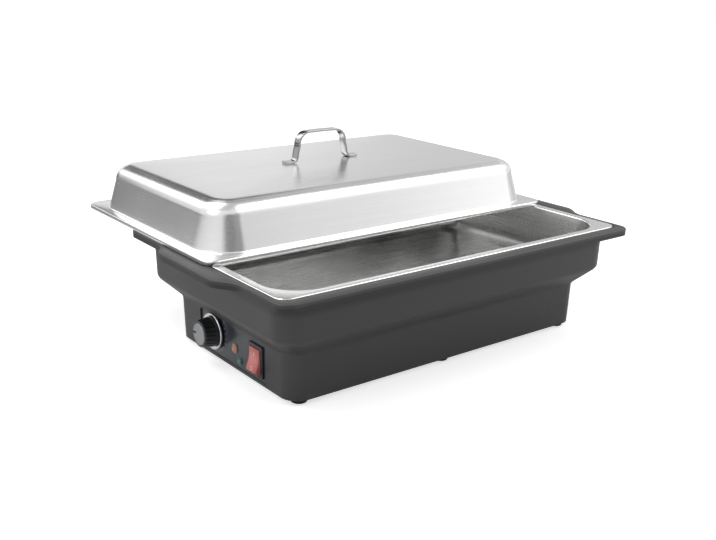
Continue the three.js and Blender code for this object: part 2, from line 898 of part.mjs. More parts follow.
function thermostatBody() {
  const half = bodySide / 2;
  const rear = bodyFace + bodyDepth;
  const box = block([bodyFace, knobY - half, knobZ - half], [rear, knobY + half, knobZ + half]);
  const bush = facingEnd(rod(bushRadius, -bodyFace - overrun, bushReach - panelFace), 0, knobY, knobZ);
  const tabs = [-1, 1].map((side) => block(
    [rear - tabThickness, knobY + (side * half) / 2 - tabWidth / 2, knobZ + (half - tabThickness) / 2],
    [rear + tabLength, knobY + (side * half) / 2 + tabWidth / 2, knobZ + (half + tabThickness) / 2],
  ));
  const bore = rod(shaftRadius + seatGap, -bodyFace - shaftInBody - seatGap, overrun - panelFront);
  return cut(join(box, bush, ...tabs), facingEnd(bore, 0, knobY, knobZ));
}

add('thermostat_body', thermostatBody(), nylon);

const thermostatNut = hexNut(nutRadius, bushRadius + seatGap, nutThickness);
add('thermostat_nut', facingEnd(thermostatNut, nutBack, knobY, knobZ), brass);

// Knob group: turns about the shaft
const knobGroup = new THREE.Group();
knobGroup.position.set(skirtBack, knobY, knobZ);
chafer.add(knobGroup);

function knobFacing(geometry) {
  return geometry.rotateY(-Math.PI / 2);
}

function controlKnob() {
  const front = knobSkirtThickness + knobDepth;
  const socket = shaftRadius + seatGap;
  const body = turned([
    [0, knobSkirtThickness - panelSheet],
    [knobRadius - knobClear, knobSkirtThickness - panelSheet],
    [knobRadius - knobClear, knobSkirtThickness + seatGap],
    [knobRadius, knobSkirtThickness + seatGap],
    [knobTipRadius, front - knobEdge],
    [knobTipRadius - knobEdge, front],
    [0, front],
  ], 2 * roundSides);
  const bore = rod(socket, -overrun, shaftInKnob + seatGap);
  const capFloor = front - knobCapThickness - seatGap;
  const capSeat = rod(knobCapRadius + seatGap, capFloor, front + overrun, 2 * roundSides);
  const flutes = Array.from({ length: knobGripCount }, (_, i) => {
    const angle = ((i + 0.5) / knobGripCount) * 2 * Math.PI;
    return rod(knobGripDepth, knobSkirtThickness + knobEdge, front + overrun, 6)
      .translate(knobRadius * Math.cos(angle), knobRadius * Math.sin(angle), 0);
  });
  return knobFacing(cut(body, bore, capSeat, ...flutes));
}

add('control_knob', controlKnob(), blackPlastic, knobGroup);

// A satin cap in the knob's face, with the pointer line cut into it
function knobCap() {
  const back = knobSkirtThickness + knobDepth - knobCapThickness;
  const top = back + knobCapThickness + knobCapProud;
  const disc = turned([
    [0, back],
    [knobCapRadius, back],
    [knobCapRadius, top - knobCapProud],
    [knobCapRadius - knobCapProud, top],
    [0, top],
  ], 2 * roundSides);
  const pointer = block(
    [knobCapRadius / 2, -pointerWidth / 2, top - pointerDepth],
    [knobCapRadius + overrun, pointerWidth / 2, top + overrun],
  );
  return knobFacing(cut(disc, pointer));
}

add('knob_cap', knobCap(), ringPlastic, knobGroup);

const skirt = turnedRing([
  [knobRadius - knobClear + seatGap, 0],
  [knobSkirtRadius, 0],
  [knobSkirtRadius, knobSkirtThickness - knobClear],
  [knobSkirtRadius - knobClear, knobSkirtThickness],
  [knobRadius - knobClear + seatGap, knobSkirtThickness],
], 2 * roundSides);
add('knob_skirt', knobFacing(skirt), ringPlastic, knobGroup);

const shaftEnd = skirtBack - bodyFace - shaftInBody;
add('thermostat_shaft', knobFacing(rod(shaftRadius, shaftEnd, shaftInKnob)), steel, knobGroup);

// Capillary from the thermostat to its bulb under the tray's basin
const bulbZ = basinFloor - traySheet - seatGap - bulbRadius;

function capillary() {
  const bulb = turned([
    [0, 0],
    [bulbRadius - capillaryRadius, 0],
    [bulbRadius, capillaryRadius],
    [bulbRadius, bulbLength - capillaryRadius],
    [capillaryRadius, bulbLength],
    [0, bulbLength],
  ], smallSides).rotateX(Math.PI / 2).translate(bulbX, 0, bulbZ);
  const rear = bodyFace + bodyDepth + seatGap;
  const low = knobZ - bodySide / 4;
  const line = softTube([
    [rear, knobY, low],
    [rear + bodySide / 6, knobY, low],
    [rear + bodySide / 3, knobY + bodySide / 3, (low + bulbZ) / 2],
    [bulbX - bulbRadius, knobY + bodySide / 4, bulbZ - bulbRadius],
    [bulbX, bodySide / 4, bulbZ],
    [bulbX, -bulbRadius, bulbZ],
  ], capillaryRadius, 16);
  return join(bulb.rotateZ(0), line);
}

add('thermostat_capillary', capillary(), brass);

function bulbClip() {
  const inner = bulbRadius + seatGap;
  const outer = inner + clipSheet;
  const top = basinFloor - traySheet - seatGap;
  const reach = outer + clipFoot;
  const half = clipWidth / 2;
  const saddle = rod(outer, -half, half).rotateX(Math.PI / 2).translate(0, 0, bulbZ);
  const strap = block([-reach, -half, top - clipSheet], [reach, half, top]);
  const bore = rod(inner, -clipWidth, clipWidth).rotateX(Math.PI / 2).translate(0, 0, bulbZ);
  const slot = block([-inner, -clipWidth, bulbZ], [inner, clipWidth, top + overrun]);
  const trim = block([-reach - overrun, -clipWidth, top], [reach + overrun, clipWidth, top + overrun]);
  return cut(join(saddle, strap), bore, slot, trim).translate(bulbX, -bulbLength / 2, 0);
}

add('bulb_clip', bulbClip(), steel);

// Pilot lamps: a domed lens in front of a body that passes through the panel
function pilotLamp(name, radius, y, z, finish) {
  const front = -(panelFront - seatGap);
  const lens = turned([
    [0, front],
    [radius + lampRim, front],
    [radius + lampRim, front + lampRimThickness],
    [radius, front + lampRimThickness],
    ...quarter(1, 0, Math.PI / 2).slice(1, -1).map(([out, rise]) => [
      radius * out,
      front + lampRimThickness + lampDome * rise,
    ]),
    [0, front + lampRimThickness + lampDome],
  ]);
  add(`${name}_lens`, facingEnd(lens, 0, y, z), finish);
  const body = turned([
    [0, front - lampDepth],
    [radius - lampLeadGap, front - lampDepth],
    [radius - lampLeadGap, front - seatGap],
    [0, front - seatGap],
  ], smallSides);
  add(`${name}_body`, facingEnd(body, 0, y, z), nylon);
}

pilotLamp('amber_lamp', amberRadius, amberY, amberZ, amberPlastic);
pilotLamp('green_lamp', greenRadius, greenY, greenZ, greenPlastic);

// Rocker switch: the rocker tips on two trunnions in its frame
const bezelFront = -(panelFront - seatGap - bezelThickness);
const tilt = THREE.MathUtils.degToRad(rockerTilt);
const rockerEnd = rockerRadius * Math.cos(Math.asin(rockerEdge / rockerRadius));
const pivotX = bezelFront + rockerProud - rockerEdge * Math.cos(tilt) + rockerEnd * Math.sin(tilt);

function switchFrame() {
  const well = { y: rockerWidth / 2 + rockerClear, z: rockerRadius + rockerClear };
  const back = switchDepth - bezelFront;
  const around = (margin, from, to) => block(
    [from, -well.y - margin, -well.z - margin],
    [to, well.y + margin, well.z + margin],
  );
  const bezel = around(switchWall + bezelRim, -bezelFront, panelFront - seatGap);
  const body = around(switchWall, panelFront - seatGap - bezelThickness / 2, back);
  const mouth = around(0, -bezelFront - overrun, rockerRadius / 2 - pivotX);
  const holeReach = rockerWidth / 2 + rockerClear + trunnionReach + seatGap;
  const trunnionHole = rod(trunnionRadius + seatGap, -holeReach, holeReach, smallSides)
    .rotateX(Math.PI / 2).translate(-pivotX, 0, 0);
  const tabs = [-1, 0, 1].map((side) => block(
    [back - tabThickness, -tabWidth / 2, (side * well.z - tabThickness) / 2],
    [back + tabLength, tabWidth / 2, (side * well.z + tabThickness) / 2],
  ));
  return cut(join(bezel, body, ...tabs), mouth, trunnionHole).translate(0, switchY, switchZ);
}

add('switch_frame', switchFrame(), blackPlastic);

const rockerGroup = new THREE.Group();
rockerGroup.position.set(-pivotX, switchY, switchZ);
rockerGroup.rotation.y = tilt;
chafer.add(rockerGroup);

function switchRocker() {
  const frontAngle = Math.asin(rockerEdge / rockerRadius);
  const backAngle = -Math.asin(rockerBack / rockerRadius);
  const shape = new THREE.Shape();
  shape.moveTo(rockerDip - rockerEdge, 0);
  shape.lineTo(-rockerRadius * Math.sin(frontAngle), rockerRadius * Math.cos(frontAngle));
  shape.absarc(0, 0, rockerRadius, Math.PI / 2 + frontAngle, Math.PI / 2 + backAngle, true);
  shape.lineTo(rockerRadius * Math.sin(-backAngle), -rockerRadius * Math.cos(backAngle));
  shape.absarc(0, 0, rockerRadius, -Math.PI / 2 - backAngle, -Math.PI / 2 - frontAngle, true);
  const body = new THREE.ExtrudeGeometry(shape, { depth: rockerWidth, bevelEnabled: false, curveSegments: 3 })
    .translate(0, 0, -rockerWidth / 2).rotateX(Math.PI / 2);
  const reach = rockerWidth / 2 + rockerClear + trunnionReach;
  const trunnions = rod(trunnionRadius, -reach, reach, smallSides).rotateX(Math.PI / 2);
  return join(body, trunnions);
}

add('switch_rocker', switchRocker(), redPlastic, rockerGroup);

// Terminal block on the bottom plate: a base with a tower for each pole
function terminalBlock() {
  const floor = plateTop + seatGap;
  const base = block(
    [blockX - blockLength / 2, blockY - blockWidth / 2, floor],
    [blockX + blockLength / 2, blockY + blockWidth / 2, floor + blockBase],
  );
  const pitch = blockLength / blockPoles;
  const poles = Array.from({ length: blockPoles }, (_, i) => blockX + (i - (blockPoles - 1) / 2) * pitch);
  const towers = poles.map((x) => block(
    [x - (pitch - blockPoleGap) / 2, blockY - blockWidth / 4, floor],
    [x + (pitch - blockPoleGap) / 2, blockY + blockWidth / 4, floor + blockBase + blockTower],
  ));
  const top = floor + blockBase + blockTower;
  const holes = poles.map((x) => rod(blockScrewRadius, top - blockScrewDepth, top + overrun, smallSides)
    .translate(x, blockY, 0));
  return cut(join(base, ...towers), ...holes);
}

add('terminal_block', terminalBlock(), nylon);

// Cable gland through the back wall, bored for the lead, with its nut inside
const backDraftShare = lowerDraft / (lowerTop - footHeight);
const backWallY = (z) => lowerHalf.y - lowerDraft + backDraftShare * (z - footHeight);
const glandBody = turnedRing([
  [glandBoreRadius, -glandThreadLength],
  [glandThreadRadius, -glandThreadLength],
  [glandThreadRadius, 0],
  [glandRadius, 0],
  [glandRadius, glandFlange],
  [glandRadius - glandTaper, glandFlange + glandDome - glandTaper],
  [glandMouthRadius, glandFlange + glandDome],
  [glandBoreRadius, glandFlange + glandDome],
]);
const glandY = backWallY(glandZ + glandRadius) + seatGap;
add('cable_gland', glandBody.rotateX(-Math.PI / 2).translate(glandX, glandY, glandZ), blackPlastic);
const glandNut = hexNut(glandNutRadius, glandThreadRadius + seatGap, glandNutThickness);
const glandNutY = backWallY(glandZ - glandNutRadius) - wall - seatGap;
add('gland_nut', glandNut.rotateX(Math.PI / 2).translate(glandX, glandNutY, glandZ), blackPlastic);

// Lid: flange and lip, leaning wall, rounded bevel, then a shallow step round a crowned panel
const lid = new THREE.Group();
lid.position.set(0, lidShift, lidBase);
chafer.add(lid);
const lidHalf = { x: lidLength / 2, y: lidWidth / 2 };
const lidBody = { x: lidHalf.x - lidFlange, y: lidHalf.y - lidFlange };
const lidPanelIn = lidWallLean + lidBevel;
const lidEdgeTop = lidLip + lidWallHeight + lidBevel;
const lidPanelTop = lidEdgeTop + lidPanelStep;

function lidSkin(depth) {
  const bevel = quarter(lidBevel - depth, 0, Math.PI / 2).map(([out, rise]) => (
    inset(lidBody, lidPanelIn - out, lidBodyRadius, lidLip + lidWallHeight + rise)
  ));
  const wallIn = (amount, z) => inset(lidBody, amount + depth, lidBodyRadius, z - depth);
  const crown = crownShares.map((share) => level({
    x: (lidBody.x - lidPanelIn - lidPanelStepWidth) * share,
    y: (lidBody.y - lidPanelIn - lidPanelStepWidth) * share,
    radius: (lidBodyRadius - lidPanelIn - lidPanelStepWidth) * share,
    z: lidPanelTop - depth + lidCrown * (1 - share * share),
  }));
  return [
    wallIn(-lidRootRadius, lidLip),
    inset(lidBody, depth, lidBodyRadius, lidLip + lidRootRadius - depth),
    ...bevel,
    ...crown,
  ];
}

function lidShell() {
  const edge = (amount, z) => inset(lidHalf, amount, lidFlangeRadius, z);
  return loft([
    ...lidSkin(lidSheet).reverse(),
    edge(lidSheet, lidLip - lidSheet),
    edge(lidSheet, 0),
    edge(0, 0),
    edge(0, lidLip - lidSheet / 2),
    edge(lidSheet / 2, lidLip),
    ...lidSkin(0),
  ]);
}

const flatShare = crownShares.at(-1);
const lidTopMiddle = lidPanelTop + lidCrown * (1 - flatShare * flatShare);
const lidUnderMiddle = lidTopMiddle - lidSheet;
const handleFootX = handleSpan / 2 + handleSplay + handleFoot / 2 + handleFootBend;
const handleFeet = [-1, 1].map((side) => side * handleFootX);

function screwHolesThrough(radius, from, to) {
  return handleFeet.map((x) => rod(radius, from, to, smallSides).translate(x, 0, 0));
}

// The lid dips a little towards its edge, so the screws' faces follow its height under each foot
const lidFootDip = lidCrown * flatShare * flatShare;

const lidHoles = screwHolesThrough(
  handleScrewRadius + seatGap,
  lidPanelTop - overrun,
  lidTopMiddle + overrun,
);
add('lid_shell', cut(lidShell(), ...lidHoles), brushed, lid);

// Handle: one flat bar bent into an arch, with a foot at each end
function handleOutline() {
  const middle = [
    [handleSpan / 2 + handleSplay + handleFootBend + handleFoot, 0],
    [handleSpan / 2 + handleSplay + handleFootBend, 0],
    [handleSpan / 2 + handleSplay, handleFootBend],
    [handleSpan / 2, handleHeight - handleBend],
  ];
  const bend = Array.from({ length: bendSteps }, (_, i) => {
    const angle = ((i + 1) / bendSteps) * (Math.PI / 2);
    return [
      handleSpan / 2 - handleBend * (1 - Math.cos(angle)),
      handleHeight - handleBend * (1 - Math.sin(angle)),
    ];
  });
  const right = [...middle, ...bend];
  return [...right, ...right.map(([x, z]) => [-x, z]).reverse()];
}

function lidHandle() {
  const line = handleOutline().map(([x, z]) => new THREE.Vector2(x, z + handleBar / 2));
  const sides = [1, -1].map((side) => line.map((point, i) => {
    const before = line[Math.max(i - 1, 0)];
    const after = line[Math.min(i + 1, line.length - 1)];
    const along = after.clone().sub(before).normalize();
    return point.clone().add(new THREE.Vector2(-along.y, along.x).multiplyScalar(side * handleBar / 2));
  }));
  const shape = new THREE.Shape([...sides[0], ...sides[1].reverse()]);
  const bar = new THREE.ExtrudeGeometry(shape, { depth: handleWidth, bevelEnabled: false })
    .rotateX(Math.PI / 2).translate(0, handleWidth / 2, lidTopMiddle + seatGap);
  const threads = screwHolesThrough(
    handleScrewRadius + seatGap,
    lidTopMiddle - overrun,
    lidTopMiddle + handleBar / 2,
  );
  return cut(bar, ...threads);
}

add('lid_handle', lidHandle(), polished, lid);

handleFeet.forEach((x, i) => {
  const washerTop = lidUnderMiddle - lidFootDip - seatGap;
  const washer = turnedRing([
    [handleScrewRadius + seatGap, washerTop - handleWasherThickness],
    [handleWasherRadius, washerTop - handleWasherThickness],
    [handleWasherRadius, washerTop],
    [handleScrewRadius + seatGap, washerTop],
  ], smallSides);
  add(`handle_washer_${i + 1}`, washer.translate(x, 0, 0), steel, lid);
  const headTop = washerTop - handleWasherThickness - seatGap;
  const screw = turned([
    [0, headTop - handleScrewHeadHeight],
    [handleScrewHead, headTop - handleScrewHeadHeight],
    [handleScrewHead, headTop],
    [handleScrewRadius, headTop],
    [handleScrewRadius, lidTopMiddle + handleBar / 3],
    [0, lidTopMiddle + handleBar / 3],
  ], smallSides);
  add(`handle_screw_${i + 1}`, screw.translate(x, 0, 0), steel, lid);
});

// The origin is on the ground under the middle of the whole footprint, lid included
const footprintBack = lidShift + lidHalf.y;
chafer.position.set(0, (rimHalf.y - footprintBack) / 2, 0);

export default chafer;
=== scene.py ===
import json
import math

import bmesh
import bpy
from mathutils import Matrix, Vector

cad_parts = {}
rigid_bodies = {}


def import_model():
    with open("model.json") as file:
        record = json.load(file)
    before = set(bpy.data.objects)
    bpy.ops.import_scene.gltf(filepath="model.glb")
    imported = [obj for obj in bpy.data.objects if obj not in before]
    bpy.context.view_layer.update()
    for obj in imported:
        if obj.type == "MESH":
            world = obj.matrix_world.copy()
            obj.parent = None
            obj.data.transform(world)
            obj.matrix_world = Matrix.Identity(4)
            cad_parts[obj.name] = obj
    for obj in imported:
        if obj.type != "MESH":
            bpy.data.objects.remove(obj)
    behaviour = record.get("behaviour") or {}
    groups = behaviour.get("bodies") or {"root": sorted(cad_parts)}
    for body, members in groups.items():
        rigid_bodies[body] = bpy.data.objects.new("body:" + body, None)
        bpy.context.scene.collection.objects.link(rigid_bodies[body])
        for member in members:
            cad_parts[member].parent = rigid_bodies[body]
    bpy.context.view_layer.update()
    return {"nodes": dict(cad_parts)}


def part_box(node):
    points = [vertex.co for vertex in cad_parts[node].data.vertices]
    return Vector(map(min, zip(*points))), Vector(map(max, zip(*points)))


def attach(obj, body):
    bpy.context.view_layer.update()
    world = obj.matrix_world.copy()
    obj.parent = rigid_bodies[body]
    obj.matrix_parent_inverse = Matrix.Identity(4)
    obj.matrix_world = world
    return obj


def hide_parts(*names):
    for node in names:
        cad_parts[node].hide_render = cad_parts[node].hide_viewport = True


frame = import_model()
print("frame loaded")

# The housing and the pan are centred here; the lid lies further back
baseY = -0.06725
lidY = baseY + 0.145
# On the panel at the -X end: Y and Z of the dial and of the rocker's pivot
dialCentre = (baseY + 0.0373, 0.0393)
rockerCentre = (baseY - 0.059, 0.0345)
panelOut = (-1, 0, 0)
touch = 1e-5  # how near counts as in place


# Camera: three-quarter view over the control end
view = {
    "place": (-0.75669, -0.99120, 0.46416),
    "turn": -37.71,
    "drop": 17.65,
    "roll": 1.12,
    "lens": 48.04,
    "sensor": 36,
}


def placeCamera():
    turn, drop, roll = (math.radians(view[key]) for key in ("turn", "drop", "roll"))
    ahead = Vector((-math.sin(turn) * math.cos(drop), math.cos(turn) * math.cos(drop), -math.sin(drop)))
    level = Vector((math.cos(turn), math.sin(turn), 0))
    rise = level.cross(ahead)
    right = level * math.cos(roll) + rise * math.sin(roll)
    up = rise * math.cos(roll) - level * math.sin(roll)
    lens = bpy.data.cameras.new("photoCamera")
    lens.lens = view["lens"]
    lens.sensor_width = view["sensor"]
    lens.sensor_fit = "HORIZONTAL"
    camera = bpy.data.objects.new("photoCamera", lens)
    bpy.context.collection.objects.link(camera)
    facing = Matrix((right, up, -ahead)).transposed().to_4x4()
    camera.matrix_world = Matrix.Translation(view["place"]) @ facing
    bpy.context.scene.camera = camera


placeCamera()
print("camera placed")


# A shader socket that can stand in a sum
class Wire:
    def __init__(self, paint, socket):
        self.paint = paint
        self.socket = socket

    def maths(self, operation, first, second=None):
        sockets = {0: first} if second is None else {0: first, 1: second}
        return self.paint.node("Math", {"operation": operation}, sockets)

    def __add__(self, other):
        return self.maths("ADD", self, other)

    def __radd__(self, other):
        return self.maths("ADD", other, self)

    def __sub__(self, other):
        return self.maths("SUBTRACT", self, other)

    def __rsub__(self, other):
        return self.maths("SUBTRACT", other, self)

    def __mul__(self, other):
        return self.maths("MULTIPLY", self, other)

    def __rmul__(self, other):
        return self.maths("MULTIPLY", other, self)

    def __pow__(self, other):
        return self.maths("POWER", self, other)

    def __abs__(self):
        return self.maths("ABSOLUTE", self)

    def step(self, low, high):  # 0 below low, 1 above high, smooth between
        sockets = {0: self, 1: low, 2: high, 3: 0, 4: 1}
        return self.paint.node("MapRange", {"interpolation_type": "SMOOTHSTEP"}, sockets)


def asColour(value):  # three numbers get their alpha, a wire passes as it is
    return value if isinstance(value, Wire) else (*value, 1)


# One procedural material: its nodes come from node(), its sums from Wire
class Paint:
    def __init__(self, name, metallic=0, **fixed):
        self.name = name
        self.material = bpy.data.materials.new(name)
        self.material.use_nodes = True
        self.tree = self.material.node_tree
        self.surface = self.tree.nodes["Principled BSDF"]
        self.surface.inputs["Metallic"].default_value = metallic
        for key, value in fixed.items():
            self.surface.inputs[key.replace("_", " ")].default_value = value
        self.place = self.node("TexCoord", out="Object")
        self.facing = self.node("TexCoord", out="Normal")

    def node(self, kind, settings=None, sockets=None, out=0):
        made = self.tree.nodes.new("ShaderNode" + kind)
        for key, value in (settings or {}).items():
            setattr(made, key, value)
        for key, value in (sockets or {}).items():
            if isinstance(value, Wire):
                self.tree.links.new(value.socket, made.inputs[key])
            else:
                made.inputs[key].default_value = value
        return Wire(self, made.outputs[out])

    def axis(self, letter, source=None):
        return self.node("SeparateXYZ", None, {0: source or self.place}, letter)

    def noise(self, scale, stretch=(1, 1, 1), detail=3, roughness=0.55):
        spot = self.node("Mapping", None, {"Vector": self.place, "Scale": stretch})
        sockets = {"Vector": spot, "Scale": scale, "Detail": detail, "Roughness": roughness}
        return self.node("TexNoise", None, sockets)

    def mix(self, share, first, second):
        sockets = {0: share, 6: asColour(first), 7: asColour(second)}
        return self.node("Mix", {"data_type": "RGBA"}, sockets, 2)

    def tint(self, amount, colour):  # scales a colour by a value
        grey = self.node("CombineXYZ", None, {0: amount, 1: amount, 2: amount})
        sockets = {0: 1, 6: asColour(colour), 7: grey}
        return self.node("Mix", {"data_type": "RGBA", "blend_type": "MULTIPLY"}, sockets, 2)

    def bump(self, height, strength, distance):
        sockets = {"Height": height, "Strength": strength, "Distance": distance}
        self.set("Normal", self.node("Bump", None, sockets))

    def set(self, socket, value):
        if isinstance(value, Wire):
            self.tree.links.new(value.socket, self.surface.inputs[socket])
        else:
            self.surface.inputs[socket].default_value = value


# Selection and edit helpers
def clearSelection():
    if bpy.context.object and bpy.context.object.mode == "EDIT":
        bpy.ops.object.mode_set(mode="OBJECT")
    bpy.ops.object.select_all(action="DESELECT")


def begin(name, kind, **settings):
    clearSelection()
    getattr(bpy.ops.mesh, f"primitive_{kind}_add")(**settings)
    piece = bpy.context.object
    piece.name = piece.data.name = name
    bpy.ops.object.transform_apply(location=True, rotation=True, scale=True)
    bpy.ops.object.mode_set(mode="EDIT")
    return piece


def choose(piece, mode, test):
    bpy.ops.mesh.select_mode(type=mode)
    bpy.ops.mesh.select_all(action="DESELECT")
    mesh = bmesh.from_edit_mesh(piece.data)
    for part in {"VERT": mesh.verts, "EDGE": mesh.edges}[mode]:
        part.select_set(bool(test(part)))
    mesh.select_flush_mode()
    bmesh.update_edit_mesh(piece.data)


def edgesAt(height):  # level edges at one height
    return lambda edge: all(abs(vert.co.z - height) < touch for vert in edge.verts)


def alongX(edge):
    return abs(edge.verts[0].co.x - edge.verts[1].co.x) > 0.001


def edgesOnFront(x):  # the edges round the face that looks out of the panel
    return lambda edge: all(vert.co.x < x + touch for vert in edge.verts)


def applyModifier(piece, kind, **settings):
    if piece.mode == "EDIT":
        bpy.ops.object.mode_set(mode="OBJECT")
    modifier = piece.modifiers.new(kind.lower(), kind)
    for key, value in settings.items():
        setattr(modifier, key, value)
    bpy.context.view_layer.objects.active = piece
    bpy.ops.object.modifier_apply(modifier=modifier.name)


def carve(piece, cutter, operation="DIFFERENCE"):
    clearSelection()
    applyModifier(piece, "BOOLEAN", object=cutter, operation=operation, solver="EXACT")
    bpy.data.objects.remove(cutter)


def outwards(piece):
    bpy.context.view_layer.objects.active = piece
    bpy.ops.object.mode_set(mode="EDIT")
    bpy.ops.mesh.select_all(action="SELECT")
    bpy.ops.mesh.remove_doubles(threshold=1e-6)
    bpy.ops.mesh.normals_make_consistent(inside=False)
    bpy.ops.object.mode_set(mode="OBJECT")


def middle(node):  # of a CAD node's box
    low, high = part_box(node)
    return (low + high) / 2


def copyAt(piece, shift):
    clearSelection()
    piece.select_set(True)
    bpy.context.view_layer.objects.active = piece
    bpy.ops.object.duplicate(linked=False)
    bpy.ops.transform.translate(value=shift)
    bpy.ops.object.transform_apply(location=True, rotation=False, scale=False)
    return bpy.context.object


# How finished pieces are softened and shaded, in degrees
shading = {
    "softSteps": 2,
    "softFrom": 40,
    "smoothTo": 35,
}


def dress(piece, body, finishName, node, soften=0):
    clearSelection()
    outwards(piece)
    if soften:
        applyModifier(piece, "BEVEL", width=soften, segments=shading["softSteps"], limit_method="ANGLE",
                      angle_limit=math.radians(shading["softFrom"]))
    clearSelection()
    piece.select_set(True)
    bpy.context.view_layer.objects.active = piece
    bpy.ops.object.shade_smooth_by_angle(angle=math.radians(shading["smoothTo"]))
    piece.data.materials.clear()
    piece.data.materials.append(finishes[finishName].material)
    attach(piece, body)
    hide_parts(node)


# Levels of rounded rectangles, bridged one to the next
def ring(x, y, radius, z, centre=(0, baseY), inset=0):
    return {"x": x - inset, "y": y - inset, "radius": radius - inset, "z": z, "centre": centre}


def arc(radius, start, end, steps):
    turns = [math.radians(start + (end - start) * i / steps) for i in range(steps + 1)]
    return [(radius * math.cos(turn), radius * math.sin(turn)) for turn in turns]


stackGap = 0.02  # the rings are bridged as a tall stack, then let down to their heights


def loft(name, rings, corner, stations=0, around=False):
    piece = None
    stack = [stackGap * (i + 1) for i in range(len(rings))]
    for level, height in zip(rings, stack):
        spot = (*level["centre"], height)
        if piece is None:
            piece = begin(name, "plane", size=2, location=spot)
        else:
            bpy.ops.mesh.primitive_plane_add(size=2, location=spot)
        bpy.ops.transform.resize(value=(level["x"], level["y"], 1), center_override=spot)
        bpy.ops.mesh.bevel(offset=level["radius"], offset_type="OFFSET", segments=corner, affect="VERTICES")
        bpy.ops.mesh.delete(type="ONLY_FACE")

        def straightEnd(edge):  # the straight stretch at either short end of this ring
            ends = [vert.co for vert in edge.verts]
            inPlace = all(abs(abs(co.x) - level["x"]) < touch and abs(co.z - height) < touch for co in ends)
            return inPlace and edge.calc_length() > level["y"] / 4

        choose(piece, "EDGE", straightEnd)
        if stations:
            bpy.ops.mesh.subdivide(number_cuts=stations)
        bpy.ops.mesh.select_linked()
        bpy.ops.object.vertex_group_add()
        bpy.ops.object.vertex_group_assign()
        bpy.ops.mesh.select_mode(type="VERT")
    pairs = [(i, i + 1) for i in range(len(rings) - 1)] + ([(len(rings) - 1, 0)] if around else [])
    for pair in pairs:
        pickRings(piece, *pair)
        bpy.ops.mesh.bridge_edge_loops()
    for index, (level, height) in enumerate(zip(rings, stack)):
        pickRings(piece, index)
        bpy.ops.transform.translate(value=(0, 0, level["z"] - height))
    return piece


def pickRings(piece, *indices):
    bpy.ops.mesh.select_mode(type="VERT")
    bpy.ops.mesh.select_all(action="DESELECT")
    for index in indices:
        piece.vertex_groups.active_index = index
        bpy.ops.object.vertex_group_select()


def capRing(piece, index):
    pickRings(piece, index)
    bpy.ops.mesh.edge_face_add()


# A turned piece: a circle extruded and resized along its axis
def turned(name, centre, axis, profile, sides=48, bore=False):
    axis = Vector(axis)
    (radius, height), rest = profile[0], profile[1:]
    facing = Vector((0, 0, 1)).rotation_difference(axis).to_euler()
    piece = begin(name, "circle", radius=radius, vertices=sides, fill_type="NOTHING" if bore else "NGON",
                  location=Vector(centre) + axis * height, rotation=facing)
    bpy.ops.mesh.select_all(action="SELECT")
    for nextRadius, nextHeight in rest:
        move = {"value": axis * (nextHeight - height)}
        if bore:
            bpy.ops.mesh.extrude_edges_move(TRANSFORM_OT_translate=move)
        else:
            bpy.ops.mesh.extrude_region_move(TRANSFORM_OT_translate=move)
        share = nextRadius / radius
        grow = tuple(1 if abs(part) > 0.5 else share for part in axis)
        bpy.ops.transform.resize(value=grow, center_override=Vector(centre) + axis * nextHeight)
        radius, height = nextRadius, nextHeight
    if bore:
        choose(piece, "EDGE", lambda edge: len(edge.link_faces) == 1)
        bpy.ops.mesh.bridge_edge_loops()
    return piece


# Finishes
plasticLook = {
    "grain": 900,
    "grainDepth": 0.00004,
    "grainBump": 0.5,
    "cloud": 9,
    "cloudRoughness": 0.14,
    "wear": 0.35,
    "wearPatches": 60,
    "wearFrom": (0.35, 0.7),
}
sharpness = (0.52, 0.62)  # the pointiness at which an edge begins to wear, and at which it is all worn


def wornEdges(paint):
    return paint.node("NewGeometry", out="Pointiness").step(*sharpness)


def plastic(name, colour, rough, glow=None, paintedShadeBand=None, **fixed):
    at = plasticLook
    paint = Paint(name, **fixed)
    fine = paint.noise(at["grain"], detail=2)
    cloud = paint.noise(at["cloud"], detail=4)
    edge = wornEdges(paint) * paint.noise(at["wearPatches"], detail=4).step(*at["wearFrom"])
    if colour:  # a marked piece makes its own
        tone = 0.88 + cloud * 0.16 + fine * 0.08 + edge * at["wear"]
        # painted shade: the wall just under the rim's lip is darkened in the colour, in place of the lip's
        # shadow
        if paintedShadeBand:
            tone = tone * (1 - paintedShadeShare(paint, *paintedShadeBand))
        paint.set("Base Color", paint.tint(tone, colour))
    paint.set("Roughness", rough + (cloud - 0.5) * at["cloudRoughness"] + (fine - 0.5) * 0.1 - edge * 0.08)
    paint.bump(fine, at["grainBump"], at["grainDepth"])
    if glow:
        paint.set("Emission Color", paint.tint(0.9 + cloud * 0.2, glow))
        paint.set("Emission Strength", 1)
    return paint


def paintedShadeShare(paint, low, high, depth):  # painted shade: darker between two heights, soft below and crisp above, standing in for the shadow under the rim's lip
    z = paint.axis("Z")
    return z.step(low - 0.006, low + 0.006) * (1 - z.step(high - 0.001, high + 0.0015)) * depth


# Fine lines along X, or along Y on the end walls, with a few broader streaks
brushing = {
    "lines": 700,
    "broad": 60,
    "cloud": 7,
    "stretch": 0.012,
    "broadStretch": 0.03,
    "depth": 0.00002,
}


